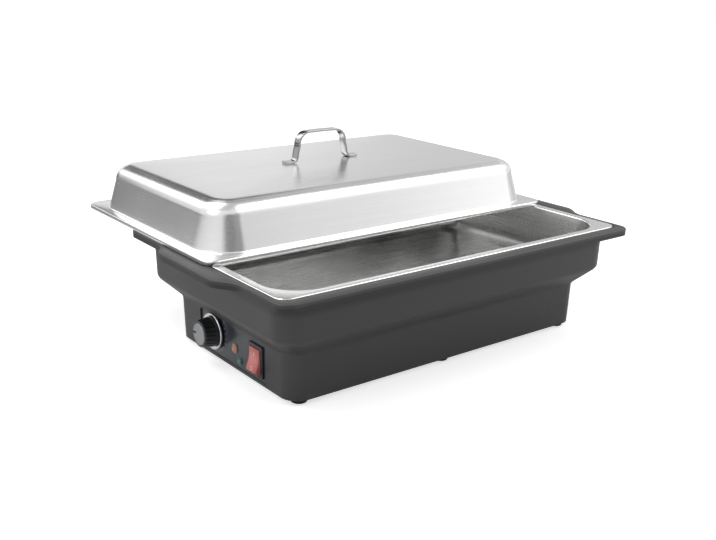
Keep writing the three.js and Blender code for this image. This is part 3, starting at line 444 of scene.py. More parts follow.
def steel(name, colour, rough, brush=0.5, streak=0.12, cloudy=0.1):
    at = brushing
    paint = Paint(name, metallic=1)
    acrossX = abs(paint.axis("X", paint.facing)).step(0.6, 0.8)
    along = paint.noise(at["lines"], (at["stretch"], 1, 1), 4, 0.6)
    around = paint.noise(at["lines"], (1, at["stretch"], 1), 4, 0.6)
    lines = along * (1 - acrossX) + around * acrossX
    broad = paint.noise(at["broad"], (at["broadStretch"], 1, 1), 3, 0.6)
    cloud = paint.noise(at["cloud"], detail=4)
    edge = wornEdges(paint)
    tone = 1 - cloudy / 2 + cloud * cloudy + (lines - 0.5) * streak + (broad - 0.5) * streak + edge * 0.08
    paint.set("Base Color", paint.tint(tone, colour))
    paint.set("Roughness", rough + (lines - 0.5) * 0.16 + (cloud - 0.5) * 0.1 - edge * 0.06)
    paint.bump(lines, brush, at["depth"])
    return paint


# Turned about the dial's axis, so the fine lines run round it; a pointer is a dark stripe in the face
turning = {
    "lines": 2600,
    "cloud": 40,
    "bump": 0.4,
    "depth": 0.00002,
    "pointerEdge": (0.0003, 0.0002),
    "pointerDepth": 0.92,
}


def spun(name, colour, rough, pointer=None):
    at = turning
    paint = Paint(name, metallic=1)
    across, high = fromCentre(paint, dialCentre)
    radius = (across * across + high * high) ** 0.5
    ringed = paint.node("CombineXYZ", None, {0: radius, 1: paint.axis("X"), 2: 0})
    sockets = {"Vector": ringed, "Scale": at["lines"], "Detail": 3, "Roughness": 0.6}
    lines = paint.node("TexNoise", None, sockets)
    tone = 0.9 + paint.noise(at["cloud"], detail=3) * 0.1 + lines * 0.1
    if pointer:
        start, half = pointer
        endEdge, sideEdge = at["pointerEdge"]
        stripe = across.step(start, start + endEdge) * (1 - abs(high).step(half, half + sideEdge))
        tone = tone * (1 - stripe * at["pointerDepth"])
    paint.set("Base Color", paint.tint(tone, colour))
    paint.set("Roughness", rough + (lines - 0.5) * 0.2)
    paint.bump(lines, at["bump"], at["depth"])
    return paint


def fromCentre(paint, centre):  # how far a point lies from a centre, in Y and in Z
    return tuple(paint.axis(letter) - value for letter, value in zip("YZ", centre))


dial = {
    "colour": (0.022, 0.026, 0.037),
    "rough": 0.3,
    "tickColour": (0.4, 0.41, 0.43),
    "ticks": 24,
    "tickHalf": (0.0016, 0.0021),
    "tickFrom": (0.0238, 0.0240),
    "tickTo": (0.0262, 0.0264),
}


def markedPanel():
    at = dial
    paint = plastic("panelPlastic", None, at["rough"], Coat_Weight=0.2)
    y, z = fromCentre(paint, dialCentre)
    radius = (y * y + z * z) ** 0.5
    turn = paint.node("Math", {"operation": "ARCTAN2"}, {0: z, 1: y})
    pitches = turn * (at["ticks"] / (2 * math.pi)) + at["ticks"]
    spoke = abs(paint.node("Math", {"operation": "FRACT"}, {0: pitches}) - 0.5)
    ticks = (1 - (spoke * radius).step(*at["tickHalf"])) * radius.step(*at["tickFrom"])
    ticks = ticks * (1 - radius.step(*at["tickTo"]))
    base = paint.tint(0.9 + paint.noise(plasticLook["cloud"], detail=4) * 0.16, at["colour"])
    paint.set("Base Color", paint.mix(ticks, base, at["tickColour"]))
    return paint


rockerPrintAndPaintedLight = {
    "colour": (0.5, 0.07, 0.06),
    "rough": 0.2,
    "markColour": (0.7, 0.62, 0.6),
    "line": (0.0003, 0.00042),
    "loopAt": -0.0082,
    "loopRadius": 0.0021,
    "barAt": 0.0078,
    "barHalf": (0.0021, 0.0023),
    # glow: painted light on the rocker's face, brightest at its centre, standing in for the highlight on
    # it; the rocker is no lamp
    "glow": (0.16, 0.09, 0.085),
    "paintedLightRim": 0.2,
    "paintedLightReach": (0.002, 0.016),
}


def printedRockerWithPaintedLight():
    at = rockerPrintAndPaintedLight
    paint = plastic("rockerRed", None, at["rough"], Coat_Weight=0.3)
    y, z = fromCentre(paint, rockerCentre)
    low = z - at["loopAt"]
    loop = 1 - abs((y * y + low * low) ** 0.5 - at["loopRadius"]).step(*at["line"])
    bar = (1 - abs(y).step(*at["line"])) * (1 - abs(z - at["barAt"]).step(*at["barHalf"]))
    red = paint.tint(0.9 + paint.noise(plasticLook["cloud"], detail=4) * 0.2, at["colour"])
    paint.set("Base Color", paint.mix(loop + bar, red, at["markColour"]))
    # painted light: a glow that fades out from the rocker's centre, in place of the highlight on its face
    paintedLightShare = 1 - ((y * y + z * z) ** 0.5).step(*at["paintedLightReach"])
    paint.set("Emission Color", paint.tint(at["paintedLightRim"] + paintedLightShare * (1 - at["paintedLightRim"]), at["glow"]))
    paint.set("Emission Strength", 1)
    return paint


# Each has its colour and roughness; a steel then has how deep, how streaky and how cloudy its brushing is
finishes = {paint.name: paint for paint in (
    # the housing's band is painted shade under the rim's lip, not a change in the plastic
    plastic("housingPlastic", (0.038, 0.038, 0.0382), 0.48, paintedShadeBand=(0.119, 0.1378, 0.85)),
    plastic("blackPlastic", (0.012, 0.012, 0.013), 0.34),
    plastic("knobPlastic", (0.011, 0.012, 0.013), 0.3),
    spun("knobTrim", (0.62, 0.63, 0.65), 0.22),
    spun("knobCap", (0.3, 0.303, 0.31), 0.36, (0.0066, 0.001)),
    markedPanel(),
    steel("galvanisedSheet", (0.5, 0.51, 0.52), 0.42, 0.2, 0.05, 0.3),
    steel("brushedSteel", (0.62, 0.62, 0.61), 0.34),
    steel("panSteel", (0.72, 0.72, 0.71), 0.27, 0.12, 0.04, 0.05),
    steel("lidSteel", (0.76, 0.76, 0.76), 0.24, 0.3, 0.08, 0.08),
    steel("polishedSteel", (0.34, 0.34, 0.34), 0.15, 0.1, 0.04, 0.06),
    plastic("siliconeSeal", (0.45, 0.43, 0.38), 0.65),
    steel("castAluminium", (0.42, 0.42, 0.43), 0.5, 0.2, 0.05, 0.3),
    steel("elementSheath", (0.2, 0.19, 0.18), 0.5, 0.3, 0.1, 0.4),
    steel("zincSteel", (0.5, 0.5, 0.48), 0.35, 0.2, 0.05, 0.2),
    plastic("nylon", (0.62, 0.6, 0.54), 0.5),
    steel("brassFitting", (0.55, 0.38, 0.14), 0.3, 0.2, 0.05, 0.2),
    steel("copperCapillary", (0.55, 0.25, 0.12), 0.3, 0.2, 0.05, 0.2),
    plastic("amberLens", (0.28, 0.12, 0.07), 0.12, glow=(0.09, 0.05, 0.035), Coat_Weight=0.5),
    plastic("greenLens", (0.015, 0.11, 0.1), 0.12, glow=(0.005, 0.04, 0.04), Coat_Weight=0.5),
    printedRockerWithPaintedLight(),
    plastic("footRubber", (0.01, 0.01, 0.01), 0.8),
)}
print("finishes made")


# Housing: two tiers, a rim with a recess for the pan, and a grip bulging from each end of the rim
housing = {
    "lower": (0.233, 0.133, 0.024),
    "lowerDraft": 0.002,
    "lowerTop": 0.0625,
    "upper": (0.257, 0.156, 0.027),
    "upperDraft": 0.0015,
    "shoulder": 0.086,
    "shoulderRound": 0.004,
    "lowerRound": 0.004,
    "rim": (0.273, 0.1795, 0.017),
    "recess": (0.2668, 0.1643, 0.016),
    "wall": 0.0025,
    "bottom": 0.006,
    "lipBottom": 0.133,
    "top": 0.142,
    "panSeat": 0.1392,
    "traySeat": 0.1365,
    "seatWidth": 0.0032,
    "round": 0.0016,
    "grip": 0.017,
    "gripHalf": 0.058,
    "gripEnd": 0.034,
    "softEdge": 0.0004,
    "softFrom": 50,
    "slopeShare": 0.4142,
    "cornerSteps": 12,
    "endCuts": 31,
    "roundSteps": 4,
}


def makeHousing():
    at = housing
    wall, top, low = at["wall"], at["top"], at["lipBottom"]
    under = at["traySeat"] - wall
    turns = [math.radians(turn) for turn in (0, 30, 60, 90)]
    lip = [(at["round"] * (1 - math.cos(turn)), at["round"] * (1 - math.sin(turn))) for turn in turns]
    levels = [
        ring(*at["lower"], at["bottom"], inset=at["lowerDraft"]),
        ring(*at["lower"], at["lowerTop"]),
        ring(*at["upper"], at["shoulder"]),
        ring(*at["upper"], under, inset=-at["upperDraft"]),
        ring(*at["recess"], under, inset=-wall),
        ring(*at["recess"], top - wall, inset=-wall),
        ring(*at["rim"], top - wall, inset=wall),
        ring(*at["rim"], low, inset=wall),
        ring(*at["rim"], low),
        *(ring(*at["rim"], top - down, inset=back) for back, down in lip),
        ring(*at["recess"], top),
        ring(*at["recess"], at["panSeat"]),
        ring(*at["recess"], at["panSeat"], inset=at["seatWidth"]),
        ring(*at["recess"], at["traySeat"], inset=at["seatWidth"]),
        ring(*at["upper"], at["traySeat"], inset=wall - at["upperDraft"]),
        ring(*at["upper"], at["shoulder"] + wall * at["slopeShare"], inset=wall),
        ring(*at["lower"], at["lowerTop"] + wall * at["slopeShare"], inset=wall),
        ring(*at["lower"], at["bottom"], inset=wall + at["lowerDraft"]),
    ]
    piece = loft("base_housing_shell", levels, at["cornerSteps"], at["endCuts"], around=True)
    bulgeGrips(piece)
    for height, size in ((at["shoulder"], at["shoulderRound"]), (at["lowerTop"], at["lowerRound"])):
        choose(piece, "EDGE", edgesAt(height))
        bpy.ops.mesh.bevel(offset=size, segments=at["roundSteps"])
    return piece


def bulgeGrips(piece):  # the rim's outer rings swell outwards in the middle of each short end
    at = housing
    reach = at["gripHalf"] + at["gripEnd"]
    mesh = bmesh.from_edit_mesh(piece.data)
    lipFrom = at["rim"][0] - at["wall"] - 0.0005  # just inside the lip's inner ring
    places = {round(abs(vert.co.y - baseY), 4) for vert in mesh.verts if abs(vert.co.x) > lipFrom}
    for spot in sorted(place for place in places if place < reach):
        share = min((reach - spot) / at["gripEnd"], 1)
        for side in (-1, 1):
            choose(piece, "VERT", lambda vert: side * vert.co.x > lipFrom
                   and round(abs(vert.co.y - baseY), 4) == spot)
            bulge = side * at["grip"] * share * share * (3 - 2 * share)
            bpy.ops.transform.translate(value=(bulge, 0, 0))


pocket = {
    "centreY": baseY - 0.005,
    "halfY": 0.0753,
    "bottom": 0.0102,
    "top": 0.0608,
    "front": -0.24,
    "face": -0.229,
    "padFace": -0.2302,
    "padLean": 0.0018,
    "padBottom": 0.0083,
    "padBack": -0.2255,
    "margin": 0.0015,
    "corner": 0.0043,
    "cornerSteps": 6,
}


def boxBetween(name, low, high):
    size = [top - bottom for bottom, top in zip(low, high)]
    centre = [(top + bottom) / 2 for bottom, top in zip(low, high)]
    return begin(name, "cube", size=1, location=centre, scale=size)


def addPad(piece):
    at = pocket
    halfY = at["halfY"] + at["margin"]
    pad = boxBetween("pad", (at["padFace"], at["centreY"] - halfY, at["padBottom"]),
                     (at["padBack"], at["centreY"] + halfY, at["top"] + at["margin"]))
    choose(pad, "VERT", lambda vert: vert.co.x < at["face"] and vert.co.z > at["bottom"])
    bpy.ops.transform.translate(value=(-at["padLean"], 0, 0))
    carve(piece, pad, "UNION")
    hollow = boxBetween("hollow", (at["front"], at["centreY"] - at["halfY"], at["bottom"]),
                        (at["face"], at["centreY"] + at["halfY"], at["top"]))
    choose(hollow, "EDGE", alongX)
    bpy.ops.mesh.bevel(offset=at["corner"], segments=at["cornerSteps"])
    carve(piece, hollow)


# What passes through the panel and the pad behind it
through = {
    "from": -0.222,
    "to": -0.235,
    "holes": {
        "bush": (0.0050, *dialCentre),
        "amber": (0.0051, baseY - 0.0100, 0.0320),
        "green": (0.0035, baseY - 0.0215, 0.0190),
    },
    "window": (*rockerCentre, 0.0126, 0.0173),
}


def panelCutters():
    back, front = through["from"], through["to"]
    cutters = [turned(name + "Hole", (back, y, z), panelOut, [(radius, 0), (radius, back - front)])
               for name, (radius, y, z) in through["holes"].items()]
    y, z, halfY, halfZ = through["window"]
    window = boxBetween("windowHole", (front, y - halfY, z - halfZ), (back, y + halfY, z + halfZ))
    return cutters + [window]


glandHole = {
    "from": (-0.15, baseY + 0.12, 0.03),
    "radius": 0.0073,
    "depth": 0.03,
    "sides": 32,
}


def glandCutter():
    at = glandHole
    profile = [(at["radius"], 0), (at["radius"], at["depth"])]
    return turned("glandHole", at["from"], (0, 1, 0), profile, at["sides"])


shell = makeHousing()
outwards(shell)
applyModifier(shell, "BEVEL", width=housing["softEdge"], segments=2, limit_method="ANGLE",
              angle_limit=math.radians(housing["softFrom"]))
addPad(shell)
for cutter in [*panelCutters(), glandCutter()]:
    carve(shell, cutter)
dress(shell, "base", "housingPlastic", "base_housing")
print("housing made")


# Food pan: one drawn sheet, from the turned-down edge over the flange and down to the floor
pan = {
    "edge": (0.265, 0.1625, 0.015),
    "body": (0.253, 0.1505, 0.046),
    "top": 0.1425,
    "drop": 0.003,
    "edgeRound": 0.0012,
    "rootRound": 0.0025,
    "taper": 0.008,
    "floor": 0.0775,
    "floorRound": 0.014,
    "sheet": 0.001,
    "wallFall": 0.048,
    "wallShares": (0.15, 0.5),
    "floorInset": 0.012,
    "cornerSteps": 14,
    "softEdge": 0.0002,
}


def makePan():
    at = pan
    top, bend, floor = at["top"], at["edgeRound"], at["floorRound"]
    levels = [ring(*at["edge"], top - at["drop"])]
    levels += [ring(*at["edge"], top - bend + rise, inset=bend - out) for out, rise in arc(bend, 0, 90, 3)]
    bend = at["rootRound"]
    levels += [ring(*at["body"], top - bend + rise, inset=out - bend) for out, rise in arc(bend, 90, 0, 4)]
    for share in at["wallShares"]:
        levels.append(ring(*at["body"], top - bend - share * at["wallFall"], inset=at["taper"] * share))
    levels += [ring(*at["body"], at["floor"] + at["sheet"] + floor + rise, inset=at["taper"] + floor - out)
               for out, rise in arc(floor, 0, -90, 7)]
    piece = loft("food_pan_sheet", levels, at["cornerSteps"])
    capRing(piece, len(levels) - 1)
    bpy.ops.mesh.inset(thickness=at["floorInset"])
    outwards(piece)
    return piece


def solidifySheet(piece, thickness):  # inwards from the outer surface
    applyModifier(piece, "SOLIDIFY", thickness=thickness, offset=-1, use_even_offset=True)


panPiece = makePan()
solidifySheet(panPiece, pan["sheet"])
dress(panPiece, "food_pan", "panSteel", "food_pan", pan["softEdge"])
print("pan made")


# Lid: lip and flange, a leaning wall, a rounded bevel and a gentle slope up to the crowned top
lid = {
    "edge": (0.272, 0.169, 0.016),
    "body": (0.2595, 0.1565, 0.046),
    "base": 0.1428,
    "lip": 0.005,
    "edgeRound": 0.0013,
    "rootRound": 0.003,
    "wall": 0.0377,
    "lean": 0.0098,
    "bevel": 0.018,
    "bevelTurn": 70,
    "slope": 0.002,
    "slopeWidth": 0.006,
    "slopeRings": ((-0.45, 0.00174), (-0.1, 0.0008), (0.35, 0.00022)),
    "crown": 0.0025,
    "crownShares": (1, 0.86, 0.7, 0.5, 0.3),
    "sheet": 0.001,
    "cornerSteps": 14,
    "softEdge": 0.0002,
}


def makeLid():
    at = lid
    centre = (0, lidY)
    flange = at["base"] + at["lip"]
    bend = at["edgeRound"]
    levels = [ring(*at["edge"], at["base"], centre)]
    levels += [ring(*at["edge"], flange - bend + rise, centre, bend - out)
               for out, rise in arc(bend, 0, 90, 3)]
    bend = at["rootRound"]
    levels += [ring(*at["body"], flange + bend + rise, centre, -bend - out)
               for out, rise in arc(bend, 270, 180, 4)]
    shoulder = flange + at["wall"]
    inner = at["lean"] + at["bevel"]
    levels += [ring(*at["body"], shoulder + rise, centre, inner - out)
               for out, rise in arc(at["bevel"], 0, at["bevelTurn"], 7)]
    panelTop = shoulder + at["bevel"] + at["slope"]
    for across, down in at["slopeRings"]:
        levels.append(ring(*at["body"], panelTop - down, centre, inner + at["slopeWidth"] * across))
    for share in at["crownShares"]:
        half = [(side - inner - at["slopeWidth"]) * share for side in at["body"]]
        levels.append(ring(*half, panelTop + at["crown"] * (1 - share * share), centre))
    piece = loft("lid_shell_sheet", levels, at["cornerSteps"])
    capRing(piece, len(levels) - 1)
    outwards(piece)
    return piece


lidPiece = makeLid()
solidifySheet(lidPiece, lid["sheet"])
dress(lidPiece, "lid", "lidSteel", "lid_shell", lid["softEdge"])
print("lid made")


# Handle: a flat bar bent into an arch
handle = {
    "foot": 0.013,
    "footBend": 0.004,
    "footCurve": ((0.001, 0), (-0.0012, 0.0003), (-0.003, 0.0017)),
    "splay": 0.004,
    "span": 0.076,
    "legFoot": (-0.0006, 0.0055),
    "legMiddle": 0.0145,
    "legLean": -8,
    "height": 0.039,
    "rise": 0.0002,
    "bend": 0.016,
    "bendSteps": 12,
    "bar": 0.003,
    "width": 0.013,
    "edge": 0.0009,
    "edgeSteps": 4,
}


def handleLine():
    at = handle
    half, splay, bend = at["span"] / 2, at["splay"], at["bend"]
    start = half + splay + at["footBend"]
    line = [(start + at["foot"], 0)]
    line += [(start + along, rise) for along, rise in at["footCurve"]]
    line += [(half + splay + at["legFoot"][0], at["legFoot"][1]), (half + splay * 0.5, at["legMiddle"])]
    line += [(half - bend + along, at["height"] - bend + rise)
             for along, rise in arc(bend, at["legLean"], 90, at["bendSteps"])]
    line += [(half * 0.3, at["height"] + at["rise"])]
    return line + [(-x, z) for x, z in reversed(line)]


def makeHandle():
    at = handle
    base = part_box("lid_handle")[0].z + at["bar"] / 2
    line = handleLine()
    x, z = line[0]
    spot = (x, lidY, base + z)
    piece = begin("lid_handle_bar", "plane", size=1, location=spot, rotation=(0, math.pi / 2, 0))
    bpy.ops.transform.resize(value=(1, at["width"], at["bar"]), center_override=spot)
    bpy.ops.mesh.bevel(offset=at["edge"], segments=at["edgeSteps"], affect="VERTICES")
    heading = math.pi
    for i in range(1, len(line)):
        after = line[min(i + 1, len(line) - 1)]
        before = line[i - 1]
        newHeading = math.atan2(after[1] - before[1], after[0] - before[0]) % (2 * math.pi)
        spot = Vector((line[i][0], lidY, base + line[i][1]))
        move = (line[i][0] - x, 0, line[i][1] - z)
        bpy.ops.mesh.extrude_region_move(TRANSFORM_OT_translate={"value": move})
        bpy.ops.transform.rotate(value=newHeading - heading, orient_axis="Y", center_override=spot)
        heading = newHeading
        x, z = line[i]
    return piece


dress(makeHandle(), "lid", "polishedSteel", "lid_handle")
print("handle made")


# Control panel: a moulded plate with soft edges, cut for what passes through it
panel = {
    "corner": 0.004,
    "cornerSteps": 10,
    "edge": 0.0005,
    "edgeSteps": 3,
}


def makePanel():
    low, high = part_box("control_panel")
    piece = boxBetween("control_panel_plate", low, high)
    choose(piece, "EDGE", alongX)
    bpy.ops.mesh.bevel(offset=panel["corner"], segments=panel["cornerSteps"])
    choose(piece, "EDGE", edgesOnFront(low.x))
    bpy.ops.mesh.bevel(offset=panel["edge"], segments=panel["edgeSteps"])
    for cutter in panelCutters():
        carve(piece, cutter)
    return piece


dress(makePanel(), "base", "panelPlastic", "control_panel")
print("panel made")


# Knob: a fluted body on a bright skirt, with a satin cap in its face
knob = {  # each profile has the radius, and the distance out of the panel
    "profile": [(0.0033, 0.0113), (0.0033, 0.0008), (0.0179, 0.0008), (0.0179, 0.0027), (0.0180, 0.0027),
                (0.0185, 0.0031), (0.0184, 0.0045), (0.0182, 0.0060), (0.0176, 0.0120), (0.0168, 0.0168),
                (0.0165, 0.0179), (0.0161, 0.0188), (0.0155, 0.0193), (0.0150, 0.0194), (0.0138, 0.0194),
                (0.0138, 0.0179)],
    "sides": 160,
    "flutes": 20,
    "fluteFrom": 0.0050,
    "fluteTo": 0.0178,
    "fluteRadius": 0.0175,
    "fluteRoot": 0.016,
    "fluteDepths": [(0, 0.06, 0.0009), (0.06, 0.19, 0.0006)],
    "softEdge": 0.00015,
}
knobSkirt = {
    "profile": [(0.0182, 0), (0.0226, 0), (0.0228, 0.0002), (0.0228, 0.0014), (0.0226, 0.0020),
                (0.0221, 0.0024), (0.0200, 0.0024), (0.0194, 0.0021), (0.0182, 0.0021)],
    "sides": 128,
}
knobCap = {
    "profile": [(0.0135, 0.0182), (0.0135, 0.0194), (0.0132, 0.0197), (0.0118, 0.0197), (0.0114, 0.0195),
                (0.0080, 0.0194)],
    "sides": 96,
    "grooveFrom": 0.0068,
    "grooveTo": 0.0146,
    "grooveHalf": 0.001,
    "grooveFloor": 0.0188,
    "grooveTop": 0.022,
    "grooveEnd": 0.0009,
    "softEdge": 0.0001,
}


def knobCentre():
    return (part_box("knob_skirt")[1].x, middle("knob_skirt").y, middle("knob_skirt").z)


def makeKnob():
    centre = Vector(knobCentre())
    piece = turned("control_knob_body", centre, panelOut, knob["profile"], knob["sides"])

    def offCentre(co):  # share of a flute's pitch between a point and the nearest groove
        turn = math.atan2(co.z - centre.z, co.y - centre.y) / (2 * math.pi) * knob["flutes"]
        return abs(turn - math.floor(turn) - 0.5)

    for low, high, depth in knob["fluteDepths"]:
        choose(piece, "VERT", lambda vert: low <= offCentre(vert.co) < high
               and knob["fluteFrom"] < centre.x - vert.co.x < knob["fluteTo"]
               and math.hypot(vert.co.y - centre.y, vert.co.z - centre.z) > knob["fluteRoot"])
        share = 1 - depth / knob["fluteRadius"]
        bpy.ops.transform.resize(value=(1, share, share), center_override=centre)
    return piece


def makeSkirt():
    return turned("knob_skirt_ring", knobCentre(), panelOut, knobSkirt["profile"], knobSkirt["sides"],
                  bore=True)


def makeCap():
    at = knobCap
    x, y, z = knobCentre()
    piece = turned("knob_cap_disc", (x, y, z), panelOut, at["profile"], at["sides"])
    groove = boxBetween("pointerGroove", (x - at["grooveTop"], y + at["grooveFrom"], z - at["grooveHalf"]),
                        (x - at["grooveFloor"], y + at["grooveTo"], z + at["grooveHalf"]))
    choose(groove, "EDGE", lambda edge: alongX(edge) and edge.verts[0].co.y < y + at["grooveFrom"] + touch)
    bpy.ops.mesh.bevel(offset=at["grooveEnd"], segments=5)
    carve(piece, groove)
    return piece


dress(makeKnob(), "knob", "knobPlastic", "control_knob", knob["softEdge"])
dress(makeSkirt(), "knob", "knobTrim", "knob_skirt")
dress(makeCap(), "knob", "knobCap", "knob_cap", knobCap["softEdge"])
print("knob made")


# Pilot lamps: a rim and a dome
lamps = {
    "lenses": {"amber_lamp_lens": ("amberLens", 0.0048), "green_lamp_lens": ("greenLens", 0.0032)},
    "rimWidth": 0.0011,
    "rimHeight": 0.001,
    "rim": ((-0.0001, 0), (0, 0.0001), (0, 0.0007), (-0.0003, 0.001)),
    "root": ((0.0002, 0.001), (0, 0.0009)),
    "domeTurns": (8, 20, 32, 44, 56, 67, 76, 84),
}


def makeLens(node, radius):
    low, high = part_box(node)
    rim = radius + lamps["rimWidth"]
    profile = [(rim + out, rise) for out, rise in lamps["rim"]]
    profile += [(radius + out, rise) for out, rise in lamps["root"]]
    dome = high.x - low.x - lamps["rimHeight"]
    for turn in lamps["domeTurns"]:
        angle = math.radians(turn)
        profile.append((radius * math.cos(angle), lamps["rimHeight"] + dome * math.sin(angle)))
    return turned(node + "_dome", (high.x, middle(node).y, middle(node).z), panelOut, profile)


for node, (finishName, radius) in lamps["lenses"].items():
    dress(makeLens(node, radius), "base", finishName, node)
print("lamps made")


# Rocker switch: a framed well, and a rocker with a dished face on two trunnions
switch = {
    "pivot": (-0.231149, *rockerCentre),
    "rim": 0.0024,
    "rimDepth": 0.0022,
    "rimEdge": 0.0007,
    "wall": 0.0014,
    "corner": 0.0014,
    "bodyBack": -0.2094,
    "tabFrom": -0.2102,
    "tabStep": 0.0078,
    "tabHalf": (0.0025, 0.0004),
    "wellOpen": 0.002,
    "wellEdge": 0.0003,
    "trunnionHole": 0.0016,
    "trunnionPlay": 0.0003,
    "trunnion": 0.0013,
    "radius": 0.0152,
    "width": 0.021,
    "edge": 0.0064,
    "dip": 0.0022,
    "dipRound": 0.005,
    "back": 0.003,
    "softEdge": 0.0005,
    "tilt": 11,
    "reach": 0.0116,
}


def crossRod(name, radius, reach):
    x, y, z = switch["pivot"]
    return turned(name, (x, y - reach, z), (0, 1, 0), [(radius, 0), (radius, 2 * reach)], 32)


def makeFrame():
    at = switch
    low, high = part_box("switch_frame")
    x, y, z = at["pivot"]
    bezel = boxBetween("switch_frame_bezel", low, (low.x + at["rimDepth"], high.y, high.z))
    choose(bezel, "EDGE", alongX)
    bpy.ops.mesh.bevel(offset=at["corner"], segments=6)
    choose(bezel, "EDGE", edgesOnFront(low.x))
    bpy.ops.mesh.bevel(offset=at["rimEdge"], segments=4)
    inset = at["rim"]
    body = boxBetween("frameBody", (low.x + at["rimDepth"] / 2, low.y + inset, low.z + inset),
                      (at["bodyBack"], high.y - inset, high.z - inset))
    carve(bezel, body, "UNION")
    halfY, halfZ = at["tabHalf"]
    for place in (-1, 0, 1):
        tabZ = z + place * at["tabStep"]
        tab = boxBetween("tab", (at["tabFrom"], y - halfY, tabZ - halfZ), (high.x, y + halfY, tabZ + halfZ))
        carve(bezel, tab, "UNION")
    inset += at["wall"]
    well = boxBetween("frameWell", (low.x - at["wellOpen"], low.y + inset, low.z + inset),
                      (x + at["radius"] / 2, high.y - inset, high.z - inset))
    choose(well, "EDGE", alongX)
    bpy.ops.mesh.bevel(offset=at["wellEdge"], segments=2)
    carve(bezel, well)
    carve(bezel, crossRod("trunnionHole", at["trunnionHole"], at["reach"] + at["trunnionPlay"]))
    return bezel


def makeRocker():
    at = switch
    x, y, z = at["pivot"]
    piece = turned("switch_rocker_paddle", (x, y - at["width"] / 2, z), (0, 1, 0),
                   [(at["radius"], 0), (at["radius"], at["width"])], 96)
    for place, facing in ((x - at["edge"], -1), (x + at["back"], 1)):
        bpy.ops.mesh.select_mode(type="VERT")
        bpy.ops.mesh.select_all(action="SELECT")
        bpy.ops.mesh.bisect(plane_co=(place, y, z), plane_no=(facing, 0, 0), clear_outer=True,
                            use_fill=True)
    bpy.ops.mesh.select_all(action="SELECT")
    bpy.ops.mesh.bisect(plane_co=(x, y, z), plane_no=(0, 0, 1))
    choose(piece, "VERT", lambda vert: vert.co.x < x - at["edge"] + touch and abs(vert.co.z - z) < touch)
    bpy.ops.transform.translate(value=(at["dip"], 0, 0))
    choose(piece, "EDGE", lambda edge: all(abs(vert.co.z - z) < touch and vert.co.x < x
                                           for vert in edge.verts))
    bpy.ops.mesh.bevel(offset=at["dipRound"], segments=8)
    outwards(piece)
    applyModifier(piece, "BEVEL", width=at["softEdge"], segments=3, limit_method="ANGLE",
                  angle_limit=math.radians(shading["softFrom"]))
    carve(piece, crossRod("trunnions", at["trunnion"], at["reach"]), "UNION")
    bpy.ops.object.mode_set(mode="EDIT")
    bpy.ops.mesh.select_all(action="SELECT")
    turn = -math.radians(at["tilt"])
    bpy.ops.transform.rotate(value=turn, orient_axis="Y", center_override=at["pivot"])
    return piece


dress(makeFrame(), "base", "blackPlastic", "switch_frame")
dress(makeRocker(), "rocker", "rockerRed", "switch_rocker")
print("switch made")


# Feet: soft-edged rubber rings, one modelled and the others copied from it
feet = {
    "count": 6,
    "profile": [(0.0022, 1), (0.0101, 1), (0.0105, 0.94), (0.0102, 0.7), (0.0096, 0.18), (0.0093, 0.07),
                (0.0088, 0), (0.0075, 0), (0.0072, 0.05), (0.0062, 0.05), (0.0059, 0), (0.0048, 0),
                (0.0046, 0.03), (0.0046, 0.5), (0.0022, 0.5)],  # radius, and share of the height
}


def makeFoot():
    low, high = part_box("foot_1")
    centre = (middle("foot_1").x, middle("foot_1").y, low.z)
    profile = [(radius, share * (high.z - low.z)) for radius, share in feet["profile"]]
    return turned("foot_1_ring", centre, (0, 0, 1), profile, bore=True)


def makeFeet():
    first = makeFoot()
    bpy.ops.object.mode_set(mode="OBJECT")
    shifts = [middle(f"foot_{i}") - middle("foot_1") for i in range(2, feet["count"] + 1)]
    return [first, *(copyAt(first, shift) for shift in shifts)]


for index, foot in enumerate(makeFeet(), 1):
    foot.name = foot.data.name = f"foot_{index}_ring"
    dress(foot, "base", "footRubber", f"foot_{index}")
print("feet made")


# Cable gland: a flange, a ribbed dome nut and an open bore
gland = {
    "profile": [(0.0036, -0.014), (0.0066, -0.014), (0.0070, -0.0136), (0.0070, 0), (0.0108, 0),
                (0.0110, 0.0002), (0.0110, 0.0027), (0.0107, 0.0030), (0.0098, 0.0030), (0.0096, 0.0034),
                (0.0091, 0.0084), (0.0082, 0.0098), (0.0064, 0.0117), (0.0060, 0.0120), (0.0042, 0.0120),
                (0.0036, 0.0114)],
    "sides": 96,
    "shank": 0.014,
    "ribs": 12,
    "ribDepth": 0.94,
    "ribFrom": 0.0032,
    "ribTo": 0.0099,
    "ribRoot": 0.005,
    "grooveShare": 0.2,
}


def makeGland():
    at = gland
    centre = middle("cable_gland")
    centre.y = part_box("cable_gland")[0].y + at["shank"]
    piece = turned("cable_gland_body", centre, (0, 1, 0), at["profile"], at["sides"], bore=True)

    def inGroove(co):
        turn = math.atan2(co.z - centre.z, co.x - centre.x) / (2 * math.pi) * at["ribs"]
        return abs(turn - math.floor(turn) - 0.5) < at["grooveShare"]

    choose(piece, "VERT", lambda vert: at["ribFrom"] < vert.co.y - centre.y < at["ribTo"]
           and math.hypot(vert.co.x - centre.x, vert.co.z - centre.z) > at["ribRoot"]
           and inGroove(vert.co))
    share = at["ribDepth"]
    bpy.ops.transform.resize(value=(share, 1, share), center_override=centre)
    return piece


dress(makeGland(), "base", "blackPlastic", "cable_gland")
print("gland made")


